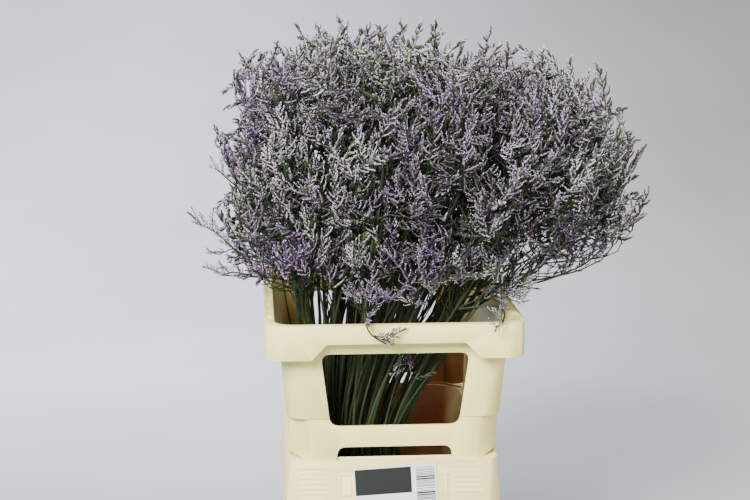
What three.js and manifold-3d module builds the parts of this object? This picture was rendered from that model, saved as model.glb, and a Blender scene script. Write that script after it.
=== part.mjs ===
// Dried statice standing in its flower bucket: a plastic bucket, the collar that stands on its rim,
// a plain lot card, and flowering stems whose feet stand on the bucket's floor.
// Millimetres, +Z up. The origin is the centre of the bucket's base, and the front faces -Y.

import * as THREE from "three";
import { mergeVertices } from "three/addons/utils/BufferGeometryUtils.js";
import Module from "manifold-3d";

const wasm = await Module();
wasm.setup();

// Driving dimensions of the holder, in millimetres
const RIM_HALF = { x: 150, y: 200 };
const RIM_CORNER = 22;
const RIM_LEDGE = 11;
const BAND_HEIGHT = 40;
const BAND_STEP = { z: 21.6, halfTop: 80, halfBottom: 98 };
const COLLAR_HEIGHT = 166.5;
const COLLAR_SHOULDER = 115.5;
const COLLAR_CORNER = 24;
const COLLAR_CUT_CORNER = 23;
const BODY_HALF_AT_BAND = { x: 132.5, y: 182.5 };
const BODY_HALF_AT_SHOULDER = { x: 125.5, y: 175.5 };
const FOOT_HALF_AT_SHOULDER = { x: 123.5, y: 174.5 };
const FOOT_HALF_AT_BASE = { x: 121.5, y: 172.5 };
const EAR_RISE = 8;
const EAR_CUT = { margin: 3, depth: 24, height: 16, sink: 6 };
const WINDOW = { top: 36.8, bottom: 125, halfTop: 86, halfBottom: 75, corner: 11 };
const NOTCH = { height: 16, halfTop: 66, halfBottom: 70, corner: 9 };
const STACK_MARK = { length: 4, width: 5, depth: 1.2, pair: 8 };
const STACK_MARK_PLACES = [-150, -80, 10, 100];
const WALL = 3;
const BUCKET_HEIGHT = 230;
const BUCKET_FLOOR = 4;
const SEAT_HALF = { x: 121.5, y: 175 };
const SEAT_CUT_CORNER = 9;
const SKIRT_HEIGHT = 85;
const SKIRT_HALF = { x: 129.5, y: 183 };
const SKIRT_CUT_CORNER = 20;
const MOUTH_HALF = { x: 112, y: 164 };
const WAIST = { drop: 30, x: 102, y: 155 };
const BASE_HALF = { x: 95, y: 151 };
const BUCKET_CORNER = 34;
const LIP = { height: 3, thickness: 2, x: 117.8, y: 168.8, corner: 24 };
const PANEL = { half: 65, top: 14, height: 66, proud: 1.2 };
const CARD = { width: 97, height: 60, thickness: 0.8, top: 6.8, turn: 2.9, x: 1 };
const GAP = 0.3;
const CORNER_STEPS = 4;

// Driving dimensions of the statice
const STEM_COUNT = 36;
const STALK_RADIUS = { foot: 2.9, top: 1.7 };
const BRANCH_RADIUS = { root: 2.8, tip: 2.2 };
const BEND_CLEARANCE = 20;
const SPRAY = { spacing: 97, spiked: 78, share: 0.8, lowest: -0.5, inside: 0.9, spread: 0.1 };
const SPRAY_CURVE = { run: 62, perAside: 0.3, end: 14, middle: 0.55, bow: 0.12, sag: 0.06 };
const SPRAY_CHOICES = 2400;
const SPIKE = { length: 34, slant: 0.8, base: 8, every: 25, shortest: 1.5, shrink: 0.85 };
const SPIKE_LENGTHS = { least: 0.8, most: 1.15 };
const CORE = { sides: 5, level: 0.86, share: 0.58, reach: 52, aside: 18, lowest: 436, hidden: 0.7 };
const CORE_SPIKE = { length: 42, lean: 0.8 };
const CORE_RINGS = [0.3, 0.85, 1, 1, 0.9, 0.45];
const CORE_ROUGHNESS = 0.1;
const CORE_SKIN = 3;
const CORE_ENDS = { under: 6, over: 10 };
const CORE_CENTRING = { ways: 12, rounds: 5, share: 0.6, step: 2 };
const STRAY = { spiked: 0.7, aboveRim: 7, climb: 14 };
const RIM_CLEARANCE = 4;
const CELL_MARGIN = 1.1;
const HEAD = { x: 62, z: 505, halfX: 262, halfY: 228, drop: 88, power: 3.8, beyond: 1.03 };
const HEAD_TOP = { z: 738, from: -100, fall: 0.13 };
const SEED = 77;

const SEAT_Z = BUCKET_HEIGHT;
const COLLAR_BASE_Z = SEAT_Z + GAP;
const RIM_Z = COLLAR_BASE_Z + COLLAR_HEIGHT;
const SKIRT_Z = BUCKET_HEIGHT - SKIRT_HEIGHT;
const GOLDEN_ANGLE = Math.PI * (3 - Math.sqrt(5));

// How the bunch of stalks widens: at each height, its centre and its half widths
const BUNCH = [
  { z: BUCKET_FLOOR + GAP, cx: -30, sx: 50, sy: 112 },
  { z: 235, cx: -38, sx: 54, sy: 138 },
  { z: 290, cx: -29, sx: 72, sy: 146 },
  { z: 400, cx: 2, sx: 119, sy: 168 },
  { z: 455, cx: 18, sx: 142, sy: 178 },
  { z: 560, cx: 45, sx: 190, sy: 192 },
  { z: 740, cx: 62, sx: 232, sy: 202 },
];

// Branches that leave the bunch: the stalk that each grows from is the nearest one, and its
// points after the root are chosen by hand. The length is that of its spikes.
const STRAYS = [
  { spike: 26, points: [[-165, -70, 442], [-205, -78, 478], [-236, -80, 508]] },
  { spike: 18, points: [[-158, -40, 424], [-186, -48, 432], [-202, -50, 428]] },
  { spike: 13, points: [[-160, 30, 410], [-182, 26, 412], [-204, 24, 414]] },
  { spike: 9, points: [[-34, -193, 413], [-30, -211, 401], [-18, -217, 388], [-8, -218, 380]] },
  { spike: 13, points: [[118, -176, 414], [124, -205, 409], [118, -222, 400]] },
  { spike: 24, points: [[180, -60, 418], [232, -66, 424], [276, -70, 440]] },
  { spike: 22, points: [[186, 40, 426], [240, 44, 440], [290, 46, 462]] },
  { spike: 22, points: [[176, -130, 430], [226, -140, 446], [262, -146, 470]] },
];

// Random numbers from 0 to 1 that are the same on each run
function randomFrom(seed) {
  let state = seed >>> 0;
  return () => {
    state = (state + 0x6d2b79f5) >>> 0;
    let t = state;
    t = Math.imul(t ^ (t >>> 15), t | 1);
    t ^= t + Math.imul(t ^ (t >>> 7), t | 61);
    return ((t ^ (t >>> 14)) >>> 0) / 4294967296;
  };
}

// Solids and meshes

function solidOf(geometry) {
  const bare = geometry.clone();
  bare.deleteAttribute("normal");
  bare.deleteAttribute("uv");
  const merged = mergeVertices(bare, 1e-4);
  const vertProperties = merged.attributes.position.array;
  const triVerts = new Uint32Array(merged.index.array);
  return new wasm.Manifold(new wasm.Mesh({ numProp: 3, vertProperties, triVerts }));
}

// The solid's largest body: a hollow sealed inside it is filled, and a loose scrap is dropped
function wholeBody(solid) {
  const bodies = solid.decompose();
  bodies.sort((a, b) => b.volume() - a.volume());
  return bodies[0];
}

function meshOf(name, solid, material) {
  const { vertProperties, triVerts } = solid.getMesh();
  const geometry = new THREE.BufferGeometry();
  geometry.setAttribute("position", new THREE.BufferAttribute(vertProperties, 3));
  geometry.setIndex(new THREE.BufferAttribute(triVerts, 1));
  geometry.computeVertexNormals();
  const mesh = new THREE.Mesh(geometry, material);
  mesh.name = name;
  return mesh;
}

function geometryOf(points, index) {
  const geometry = new THREE.BufferGeometry().setFromPoints(points);
  geometry.setIndex(index);
  return geometry;
}

// A closed solid through a stack of rings, each wound anticlockwise seen from its upper side
function stack(rings) {
  const count = rings[0].length;
  const index = [];
  for (let k = 0; k < rings.length - 1; k++) {
    for (let i = 0; i < count; i++) {
      const a = k * count + i;
      const b = k * count + ((i + 1) % count);
      index.push(a, b, b + count, a, b + count, a + count);
    }
  }
  const last = (rings.length - 1) * count;
  for (let i = 1; i < count - 1; i++) {
    index.push(0, i + 1, i);
    index.push(last, last + i, last + i + 1);
  }
  return solidOf(geometryOf(rings.flat(), index));
}

// A rectangle with its corners rounded in that many steps, or cut straight in one step
function ring(half, corner, steps, z) {
  const points = [];
  const quarters = [[1, 1], [-1, 1], [-1, -1], [1, -1]];
  quarters.forEach(([sx, sy], q) => {
    for (let k = 0; k <= steps; k++) {
      const angle = ((q + k / steps) * Math.PI) / 2;
      const x = sx * (half.x - corner) + corner * Math.cos(angle);
      const y = sy * (half.y - corner) + corner * Math.sin(angle);
      points.push(new THREE.Vector3(x, y, z));
    }
  });
  return points;
}

function grown(half, by) {
  return { x: half.x + by, y: half.y + by };
}

// An outline in x and z with rounded corners, pushed right through the object along y
function through(corners, radius, halfDepth) {
  const shape = new THREE.Shape();
  corners.forEach(([x, z], i) => {
    const here = new THREE.Vector2(x, z);
    const before = new THREE.Vector2(...corners[(i + corners.length - 1) % corners.length]);
    const after = new THREE.Vector2(...corners[(i + 1) % corners.length]);
    const start = here.clone().add(before.sub(here).setLength(radius));
    const end = here.clone().add(after.sub(here).setLength(radius));
    if (i === 0) shape.moveTo(start.x, start.y);
    else shape.lineTo(start.x, start.y);
    shape.quadraticCurveTo(here.x, here.y, end.x, end.y);
  });
  shape.closePath();
  const options = { depth: 2 * halfDepth, bevelEnabled: false, curveSegments: 4 };
  const geometry = new THREE.ExtrudeGeometry(shape, options);
  geometry.rotateX(Math.PI / 2);
  geometry.translate(0, halfDepth, 0);
  return solidOf(geometry);
}

function box(sizeX, sizeY, sizeZ, matrix) {
  return solidOf(new THREE.BoxGeometry(sizeX, sizeY, sizeZ).applyMatrix4(matrix));
}

function at(x, y, z) {
  return new THREE.Matrix4().makeTranslation(x, y, z);
}

// The bucket

// The outer wall of the rim, which leans out as it goes down, open underneath
function bucketSkirt() {
  const outer = stack([
    ring(SKIRT_HALF, SKIRT_CUT_CORNER, 1, SKIRT_Z),
    ring(SEAT_HALF, SEAT_CUT_CORNER, 1, BUCKET_HEIGHT),
  ]);
  const hollow = stack([
    ring(grown(SKIRT_HALF, -WALL), SKIRT_CUT_CORNER, 1, SKIRT_Z - 1),
    ring(grown(SEAT_HALF, -WALL), SEAT_CUT_CORNER, 1, BUCKET_HEIGHT - WALL),
  ]);
  return outer.subtract(hollow);
}

// The vessel inside the skirt, narrowing to the base
function bucketVessel() {
  const waistZ = BUCKET_HEIGHT - WAIST.drop;
  return stack([
    ring(BASE_HALF, BUCKET_CORNER, CORNER_STEPS, 0),
    ring(grown(WAIST, WALL), BUCKET_CORNER, CORNER_STEPS, waistZ),
    ring(grown(MOUTH_HALF, WALL), BUCKET_CORNER, CORNER_STEPS, BUCKET_HEIGHT - 1),
  ]);
}

function bucketCavity() {
  const corner = BUCKET_CORNER - 2;
  return stack([
    ring(grown(BASE_HALF, -WALL), corner, CORNER_STEPS, BUCKET_FLOOR),
    ring(WAIST, corner, CORNER_STEPS, BUCKET_HEIGHT - WAIST.drop),
    ring(MOUTH_HALF, corner, CORNER_STEPS, BUCKET_HEIGHT),
    ring(MOUTH_HALF, corner, CORNER_STEPS, BUCKET_HEIGHT + 10),
  ]);
}

// The upstand on the seat, which keeps the collar in place
function bucketLip() {
  const top = BUCKET_HEIGHT + LIP.height;
  const outer = stack([ring(LIP, LIP.corner, 1, BUCKET_HEIGHT - 1), ring(LIP, LIP.corner, 1, top)]);
  const inside = grown(LIP, -LIP.thickness);
  const inner = stack([
    ring(inside, LIP.corner, 1, BUCKET_HEIGHT - 2),
    ring(inside, LIP.corner, 1, top + 1),
  ]);
  return outer.subtract(inner);
}

// The place on the skirt's front face at a drop below the seat, turned as the face leans
function onSkirt(x, drop, outwards) {
  const lean = Math.atan2(SKIRT_HALF.y - SEAT_HALF.y, SKIRT_HEIGHT);
  const matrix = at(x, -SEAT_HALF.y, BUCKET_HEIGHT);
  matrix.multiply(new THREE.Matrix4().makeRotationX(-lean));
  return matrix.multiply(at(0, -outwards, -drop));
}

function bucketPanel() {
  const depth = PANEL.proud + 2;
  const place = onSkirt(0, PANEL.top + PANEL.height / 2, PANEL.proud - depth / 2);
  return box(2 * PANEL.half, depth, PANEL.height, place);
}

function bucket() {
  const walls = bucketSkirt().add(bucketVessel()).add(bucketPanel());
  return walls.subtract(bucketCavity()).add(bucketLip());
}

// The lot card, flat against the panel
function lotCard() {
  const drop = CARD.top + CARD.height / 2;
  const place = onSkirt(CARD.x, drop, PANEL.proud + GAP + CARD.thickness / 2);
  place.multiply(new THREE.Matrix4().makeRotationY(THREE.MathUtils.degToRad(-CARD.turn)));
  return box(CARD.width, CARD.thickness, CARD.height, place);
}

// The collar

function rimBand() {
  const band = stack([
    ring(RIM_HALF, RIM_CORNER, CORNER_STEPS, RIM_Z - BAND_HEIGHT),
    ring(RIM_HALF, RIM_CORNER, CORNER_STEPS, RIM_Z),
  ]);
  const inside = grown(RIM_HALF, -WALL);
  const channel = stack([
    ring(inside, RIM_CORNER - WALL, CORNER_STEPS, RIM_Z - BAND_HEIGHT - 1),
    ring(inside, RIM_CORNER - WALL, CORNER_STEPS, RIM_Z - WALL),
  ]);
  const low = RIM_Z - BAND_HEIGHT - 1;
  const high = RIM_Z - BAND_STEP.z;
  const { halfTop, halfBottom } = BAND_STEP;
  const step = [[-halfBottom, low], [halfBottom, low], [halfTop, high], [-halfTop, high]];
  return band.subtract(channel).subtract(through(step, 2, RIM_HALF.y + 1));
}

function collarBody(grow, corner, top, shoulder) {
  const rimHalf = grown(RIM_HALF, WALL - RIM_LEDGE + grow);
  return stack([
    ring(grown(BODY_HALF_AT_SHOULDER, grow), corner, CORNER_STEPS, shoulder),
    ring(grown(BODY_HALF_AT_BAND, grow), corner, CORNER_STEPS, RIM_Z - BAND_HEIGHT),
    ring(rimHalf, corner, CORNER_STEPS, RIM_Z),
    ring(rimHalf, corner, CORNER_STEPS, top),
  ]);
}

function collarFoot(grow, base, top) {
  return stack([
    ring(grown(FOOT_HALF_AT_BASE, grow), COLLAR_CUT_CORNER, 1, base),
    ring(grown(FOOT_HALF_AT_SHOULDER, grow), COLLAR_CUT_CORNER, 1, top),
  ]);
}

function windowHole() {
  const { top, bottom, halfTop, halfBottom, corner } = WINDOW;
  const low = RIM_Z - bottom;
  const high = RIM_Z - top;
  const corners = [[-halfBottom, low], [halfBottom, low], [halfTop, high], [-halfTop, high]];
  return through(corners, corner, RIM_HALF.y + 2);
}

function notchHole() {
  const { height, halfTop, halfBottom, corner } = NOTCH;
  const low = COLLAR_BASE_Z - 2 * corner;
  const high = COLLAR_BASE_Z + height;
  const corners = [[-halfBottom, low], [halfBottom, low], [halfTop, high], [-halfTop, high]];
  return through(corners, corner, RIM_HALF.y + 2);
}

// Each cut corner of the foot rises towards the side, clear of the bucket's rim
function earCuts() {
  const cuts = [];
  const run = COLLAR_CUT_CORNER * Math.SQRT2;
  for (const sx of [-1, 1]) {
    for (const sy of [-1, 1]) {
      const matrix = at(
        sx * (FOOT_HALF_AT_BASE.x - COLLAR_CUT_CORNER / 2),
        sy * (FOOT_HALF_AT_BASE.y - COLLAR_CUT_CORNER / 2),
        COLLAR_BASE_Z,
      );
      matrix.multiply(new THREE.Matrix4().makeRotationZ(-sx * sy * (Math.PI / 4)));
      matrix.multiply(new THREE.Matrix4().makeRotationY(-sx * Math.atan2(EAR_RISE, run)));
      matrix.multiply(at(0, 0, -EAR_CUT.sink));
      cuts.push(box(run + EAR_CUT.margin, EAR_CUT.depth, EAR_CUT.height, matrix));
    }
  }
  return cuts;
}

// Pairs of small recesses in the rim's upper face, along both long sides
function stackMarks() {
  const marks = [];
  for (const side of [-1, 1]) {
    for (const y of STACK_MARK_PLACES) {
      for (const shift of [0, STACK_MARK.pair]) {
        const place = at(side * (RIM_HALF.x - RIM_LEDGE / 2), y + shift, RIM_Z);
        marks.push(box(STACK_MARK.width, STACK_MARK.length, 2 * STACK_MARK.depth, place));
      }
    }
  }
  return marks;
}

function collar() {
  const shoulder = RIM_Z - COLLAR_SHOULDER;
  let solid = rimBand()
    .add(collarBody(0, COLLAR_CORNER, RIM_Z, shoulder))
    .add(collarFoot(0, COLLAR_BASE_Z, shoulder + 1.5))
    .subtract(collarBody(-WALL, COLLAR_CORNER - WALL, RIM_Z + 1, shoulder + WALL))
    .subtract(collarFoot(-WALL, COLLAR_BASE_Z - 1, shoulder + 12))
    .subtract(windowHole())
    .subtract(notchHole());
  for (const cut of [...earCuts(), ...stackMarks()]) solid = solid.subtract(cut);
  return solid;
}

// The bunch: each stalk has a place in it, and keeps that place at every height

// The bunch's centre and half widths at a height
function bunchAt(z) {
  let k = 1;
  while (k < BUNCH.length - 1 && z > BUNCH[k].z) k++;
  const low = BUNCH[k - 1];
  const high = BUNCH[k];
  const t = (z - low.z) / (high.z - low.z);
  const mix = (key) => low[key] + (high[key] - low[key]) * t;
  return { cx: mix("cx"), sx: mix("sx"), sy: mix("sy") };
}

// Places spread evenly over a rounded square
function stemPlaces() {
  return Array.from({ length: STEM_COUNT }, (_, i) => {
    const angle = i * GOLDEN_ANGLE;
    const c = Math.cos(angle);
    const s = Math.sin(angle);
    const squared = 1 / Math.pow(c ** 4 + s ** 4, 0.25);
    const radius = Math.sqrt((i + 0.5) / STEM_COUNT) * squared;
    return new THREE.Vector2(radius * c, radius * s);
  });
}

const PLACES = stemPlaces();

function stalkPoint(stem, z) {
  const { cx, sx, sy } = bunchAt(z);
  return new THREE.Vector3(cx + sx * PLACES[stem].x, sy * PLACES[stem].y, z);
}

// How far a point lies inside a stem's own share of the bunch, in millimetres
function roomAt(stem, point) {
  const { cx, sx, sy } = bunchAt(point.z);
  const u = new THREE.Vector2((point.x - cx) / sx, point.y / sy);
  let room = Infinity;
  PLACES.forEach((other, j) => {
    if (j === stem) return;
    const across = other.clone().sub(PLACES[stem]);
    const middle = other.clone().add(PLACES[stem]).multiplyScalar(0.5);
    const slope = Math.hypot(across.x / sx, across.y / sy);
    room = Math.min(room, middle.sub(u).dot(across) / slope);
  });
  return room;
}

function stemNearest(point) {
  let best = 0;
  let least = -Infinity;
  PLACES.forEach((_, i) => {
    const room = roomAt(i, point);
    if (room > least) {
      least = room;
      best = i;
    }
  });
  return best;
}

// The outside of the whole flower mass: 1 on it and less inside
function massLevel(point) {
  const top = HEAD_TOP.z - HEAD_TOP.fall * Math.max(0, point.x - HEAD_TOP.from);
  const halfZ = point.z > HEAD.z ? top - HEAD.z : HEAD.drop;
  const x = Math.abs((point.x - HEAD.x) / HEAD.halfX);
  const y = Math.abs(point.y / HEAD.halfY);
  const z = Math.abs((point.z - HEAD.z) / halfZ);
  return Math.pow(x ** HEAD.power + y ** HEAD.power + z ** HEAD.power, 1 / HEAD.power);
}

// The point where a way from the mass's centre leaves the mass
function onMass(way) {
  const centre = new THREE.Vector3(HEAD.x, 0, HEAD.z);
  let reach = 1;
  for (let n = 0; n < 5; n++) {
    reach /= massLevel(way.clone().multiplyScalar(reach).add(centre));
  }
  return way.clone().multiplyScalar(reach).add(centre);
}

// The height at which a stalk leaves the mass
function headTop(stem) {
  let z = HEAD.z;
  while (massLevel(stalkPoint(stem, z)) < 1) z += 2;
  return z;
}

// Where the sprays end: one over each stalk, and more between them, a given distance apart over
// the whole mass. Some end a little inside it.
function sprayTips(random) {
  const places = Array.from({ length: SPRAY_CHOICES }, (_, k) => {
    const up = 1 - ((k + 0.5) / SPRAY_CHOICES) * (1 - SPRAY.lowest);
    const angle = k * GOLDEN_ANGLE;
    const flat = Math.sqrt(1 - up * up);
    const height = HEAD_TOP.z - HEAD.z;
    const x = flat * Math.cos(angle) * HEAD.halfX;
    const y = flat * Math.sin(angle) * HEAD.halfY;
    return { point: onMass(new THREE.Vector3(x, y, up * height)), order: random() };
  });
  places.sort((a, b) => a.order - b.order);
  const chosen = PLACES.map((_, stem) => stalkPoint(stem, headTop(stem)));
  for (const { point } of places) {
    if (chosen.every((other) => other.distanceTo(point) > SPRAY.spacing)) chosen.push(point);
  }
  const centre = new THREE.Vector3(HEAD.x, 0, HEAD.z);
  return chosen.map((point) => {
    const inside = SPRAY.inside - SPRAY.spread * random() * random();
    return point.sub(centre).multiplyScalar(inside).add(centre);
  });
}

// Where a branch has its rings, as shares of its length: near its end, each pair that lies close
// together is a whorl of spikes
function whorls(length, spiked) {
  const count = Math.max(1, Math.round(spiked / SPIKE.every));
  const shares = [{ at: 0, spiked: false }];
  for (let k = 0; k < count; k++) {
    const start = length - spiked + (k * spiked) / count;
    shares.push({ at: start / length, spiked: true });
    shares.push({ at: (start + SPIKE.base) / length, spiked: false });
  }
  shares.push({ at: 1, spiked: false });
  return shares;
}

// A three-sided branch along a curve, with whorls of spikes that lean forward, raised from its
// faces. It ends in a spike.
function branch(stem, curve, spiked, spikeLength, random) {
  const points = [];
  const index = [];
  const turn = random() * Math.PI;
  const rings = whorls(curve.getLength(), spiked);
  const side = sideOf(curve.getTangentAt(0.5));
  rings.forEach(({ at: share }) => {
    const centre = curve.getPointAt(share);
    const ahead = curve.getTangentAt(share);
    const right = side.clone().cross(ahead).normalize();
    const up = ahead.clone().cross(right);
    const radius = THREE.MathUtils.lerp(BRANCH_RADIUS.root, BRANCH_RADIUS.tip, share);
    for (let s = 0; s < 3; s++) {
      const angle = turn + (s * 2 * Math.PI) / 3;
      const out = right.clone().multiplyScalar(Math.cos(angle));
      out.addScaledVector(up, Math.sin(angle));
      points.push(centre.clone().addScaledVector(out, radius));
    }
  });
  for (let k = 0; k < rings.length - 1; k++) {
    const halfway = (rings[k].at + rings[k + 1].at) / 2;
    for (let s = 0; s < 3; s++) {
      const a = 3 * k + s;
      const b = 3 * k + ((s + 1) % 3);
      if (!rings[k].spiked) {
        index.push(a, b, b + 3, a, b + 3, a + 3);
        continue;
      }
      const corners = [a, b, b + 3, a + 3];
      const middle = new THREE.Vector3();
      corners.forEach((c) => middle.addScaledVector(points[c], 0.25));
      const way = middle.clone().sub(curve.getPointAt(halfway)).normalize();
      way.addScaledVector(curve.getTangentAt(halfway), SPIKE.slant).normalize();
      index.push(...fan(corners, points.length));
      const share = THREE.MathUtils.lerp(SPIKE_LENGTHS.least, SPIKE_LENGTHS.most, random());
      points.push(spikeTip(stem, middle, way, spikeLength * share));
    }
  }
  const last = 3 * (rings.length - 1);
  index.push(0, 2, 1, ...fan([last, last + 1, last + 2], points.length));
  const ahead = curve.getTangentAt(1);
  points.push(spikeTip(stem, curve.getPointAt(1), ahead, spikeLength * SPIKE_LENGTHS.least));
  return solidOf(geometryOf(points, index));
}

// A direction square to the given one
function sideOf(ahead) {
  const upright = Math.abs(ahead.z) > 0.9;
  const helper = upright ? new THREE.Vector3(1, 0, 0) : new THREE.Vector3(0, 0, 1);
  return helper.cross(ahead).normalize();
}

// The faces from each edge of a ring of points to one more point
function fan(corners, peak) {
  return corners.flatMap((corner, i) => [corner, corners[(i + 1) % corners.length], peak]);
}

// The end of a spike, drawn back until it lies inside the mass and the stem's own share of it
function spikeTip(stem, from, way, reach) {
  for (let length = reach; length > SPIKE.shortest; length *= SPIKE.shrink) {
    const tip = from.clone().addScaledVector(way, length);
    const inMass = massLevel(tip) < HEAD.beyond || massLevel(tip) < massLevel(from);
    if (inMass && roomAt(stem, tip) > CELL_MARGIN && clearOfRim(tip)) return tip;
  }
  return from.clone().addScaledVector(way, SPIKE.shortest);
}

// True above the rim, or outside it
function clearOfRim(point) {
  const beside = Math.abs(point.x) > RIM_HALF.x + RIM_CLEARANCE;
  const before = Math.abs(point.y) > RIM_HALF.y + RIM_CLEARANCE;
  return beside || before || point.z > RIM_Z + RIM_CLEARANCE;
}

// The way of a side branch: out of the head's core, then up to the spray's tip
function sprayCurve(stem, tip, stalkTop) {
  const { run, perAside, end, middle: share, bow, sag } = SPRAY_CURVE;
  const lowest = RIM_Z + end;
  const level = stalkPoint(stem, tip.z);
  const aside = Math.hypot(level.x - tip.x, level.y - tip.y);
  const rootZ = THREE.MathUtils.clamp(tip.z - run - perAside * aside, lowest, stalkTop - end);
  const root = stalkPoint(stem, rootZ);
  const middle = root.clone().lerp(tip, share);
  const away = new THREE.Vector3(tip.x - root.x, tip.y - root.y, 0);
  middle.addScaledVector(away, bow);
  middle.z = Math.max(middle.z - sag * root.distanceTo(tip), lowest);
  return new THREE.QuadraticBezierCurve3(root, middle, tip);
}

// How far the core may reach from a point, one way: inside the mass and the stem's share
function coreReach(stem, centre, way) {
  const { step } = CORE_CENTRING;
  let reach = 2 * step;
  while (reach < CORE.reach) {
    const point = centre.clone().addScaledVector(way, reach + step);
    if (roomAt(stem, point) < CELL_MARGIN || massLevel(point) > CORE.level) break;
    reach += step;
  }
  return reach;
}

// The widest round section of the core at a height. It lies a little to the stalk's side where
// there is more room, and always holds the stalk.
function coreSection(stem, z) {
  const stalkCentre = stalkPoint(stem, z);
  const ways = Array.from({ length: CORE_CENTRING.ways }, (_, i) => {
    const angle = (i * 2 * Math.PI) / CORE_CENTRING.ways;
    return new THREE.Vector3(Math.cos(angle), Math.sin(angle), 0);
  });
  const centre = stalkCentre.clone();
  let radius = 0;
  for (let n = 0; n < CORE_CENTRING.rounds; n++) {
    const reaches = ways.map((way) => coreReach(stem, centre, way));
    radius = Math.min(...reaches);
    const shift = new THREE.Vector3();
    ways.forEach((way, i) => {
      shift.addScaledVector(way, (CORE_CENTRING.share * reaches[i]) / ways.length);
    });
    const aside = centre.clone().add(shift).sub(stalkCentre).clampLength(0, CORE.aside);
    centre.copy(stalkCentre).add(aside);
  }
  return { centre, radius: Math.max(radius, centre.distanceTo(stalkCentre)) };
}

// The head's core: a small spindle round the stalk, made of staggered triangles. Each one near
// the outside of the mass is raised to a spike that leans up and out.
function core(stem, top, random) {
  const points = [];
  const index = [];
  const { sides } = CORE;
  const bands = CORE_RINGS.length - 1;
  const sections = CORE_RINGS.map((_, k) => {
    return coreSection(stem, THREE.MathUtils.lerp(CORE.lowest, top, k / bands));
  });
  const centres = sections.map((section) => section.centre);
  const ahead = centres[bands].clone().sub(centres[0]).normalize();
  sections.forEach(({ centre, radius }, k) => {
    for (let s = 0; s < sides; s++) {
      const angle = ((s + k / 2) * 2 * Math.PI) / sides;
      const way = new THREE.Vector3(Math.cos(angle), Math.sin(angle), 0);
      const share = CORE_RINGS[k] * CORE.share * (1 - CORE_ROUGHNESS * random());
      points.push(centre.clone().addScaledVector(way, radius * share + CORE_SKIN));
    }
  });
  const face = (corners) => {
    const triangle = new THREE.Triangle(...corners.map((c) => points[c]));
    const middle = triangle.getMidpoint(new THREE.Vector3());
    if (massLevel(middle) < CORE.hidden) {
      index.push(...corners);
      return;
    }
    const way = triangle.getNormal(new THREE.Vector3()).addScaledVector(ahead, CORE_SPIKE.lean);
    const share = THREE.MathUtils.lerp(SPIKE_LENGTHS.least, SPIKE_LENGTHS.most, random());
    index.push(...fan(corners, points.length));
    points.push(spikeTip(stem, middle, way.normalize(), CORE_SPIKE.length * share));
  };
  for (let k = 0; k < bands; k++) {
    for (let s = 0; s < sides; s++) {
      const low = sides * k + s;
      const next = sides * k + ((s + 1) % sides);
      face([low, next, low + sides]);
      face([low + sides, next, next + sides]);
    }
  }
  const under = Array.from({ length: sides }, (_, s) => sides - 1 - s);
  const over = Array.from({ length: sides }, (_, s) => sides * bands + s);
  index.push(...fan(under, points.length));
  points.push(centres[0].clone().addScaledVector(ahead, -CORE_ENDS.under));
  index.push(...fan(over, points.length));
  points.push(centres[bands].clone().addScaledVector(ahead, CORE_ENDS.over));
  return solidOf(geometryOf(points, index));
}

function strayCurve(stem, points) {
  const first = new THREE.Vector3(...points[0]);
  const root = stalkPoint(stem, Math.max(RIM_Z + STRAY.aboveRim, first.z - STRAY.climb));
  return new THREE.CatmullRomCurve3([root, ...points.map((p) => new THREE.Vector3(...p))]);
}

// A stalk from the bucket's floor to the top of its head, bent where the bunch bends
function stalk(stem, top) {
  const levels = BUNCH.map((level) => level.z).filter((z) => z < top - BEND_CLEARANCE);
  levels.push(top);
  const rings = levels.map((z) => {
    const centre = stalkPoint(stem, z);
    const radius = THREE.MathUtils.mapLinear(z, 0, HEAD_TOP.z, STALK_RADIUS.foot, STALK_RADIUS.top);
    return [0, 1, 2].map((s) => {
      const angle = stem + (s * 2 * Math.PI) / 3;
      const out = new THREE.Vector3(radius * Math.cos(angle), radius * Math.sin(angle), 0);
      return out.add(centre);
    });
  });
  return stack(rings);
}

function stems(random) {
  const sprays = PLACES.map(() => []);
  for (const tip of sprayTips(random)) sprays[stemNearest(tip)].push(tip);
  const strays = PLACES.map(() => []);
  for (const stray of STRAYS) {
    strays[stemNearest(new THREE.Vector3(...stray.points[0]))].push(stray);
  }
  return PLACES.map((_, stem) => {
    const top = HEAD.z + (headTop(stem) - HEAD.z) * CORE.level;
    let solid = stalk(stem, top).add(core(stem, top, random));
    for (const tip of sprays[stem]) {
      const curve = sprayCurve(stem, tip, top);
      const spiked = Math.min(SPRAY.spiked, SPRAY.share * curve.getLength());
      solid = solid.add(branch(stem, curve, spiked, SPIKE.length, random));
    }
    for (const { points, spike } of strays[stem]) {
      const curve = strayCurve(stem, points);
      solid = solid.add(branch(stem, curve, STRAY.spiked * curve.getLength(), spike, random));
    }
    return wholeBody(solid);
  });
}

// Finishes

function creamPlastic() {
  return new THREE.MeshStandardMaterial({ color: 0xe8dfc0, roughness: 0.45, metalness: 0 });
}

function whitePaper() {
  return new THREE.MeshStandardMaterial({ color: 0xf2f2f0, roughness: 0.8, metalness: 0 });
}

function driedFlower() {
  return new THREE.MeshStandardMaterial({ color: 0x8a809c, roughness: 0.9, metalness: 0 });
}

const statice = new THREE.Group();
statice.add(meshOf("bucket", bucket(), creamPlastic()));
statice.add(meshOf("collar", collar(), creamPlastic()));
statice.add(meshOf("lot_card", lotCard(), whitePaper()));
stems(randomFrom(SEED)).forEach((solid, i) => {
  const name = "statice_stem_" + String(i + 1).padStart(2, "0");
  statice.add(meshOf(name, solid, driedFlower()));
});

export default statice;
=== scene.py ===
"""Dried statice in its flower bucket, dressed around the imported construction.

Metres, +Z up, the same frame as the construction: the origin is the centre of the bucket's base
and the front faces -Y. Sizes in the classes below are in millimetres unless a name says otherwise.
"""

import logging
import math
from dataclasses import dataclass, field, fields
from enum import Enum

import bmesh
import bpy
import numpy as np
from mathutils import Matrix, Vector

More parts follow.
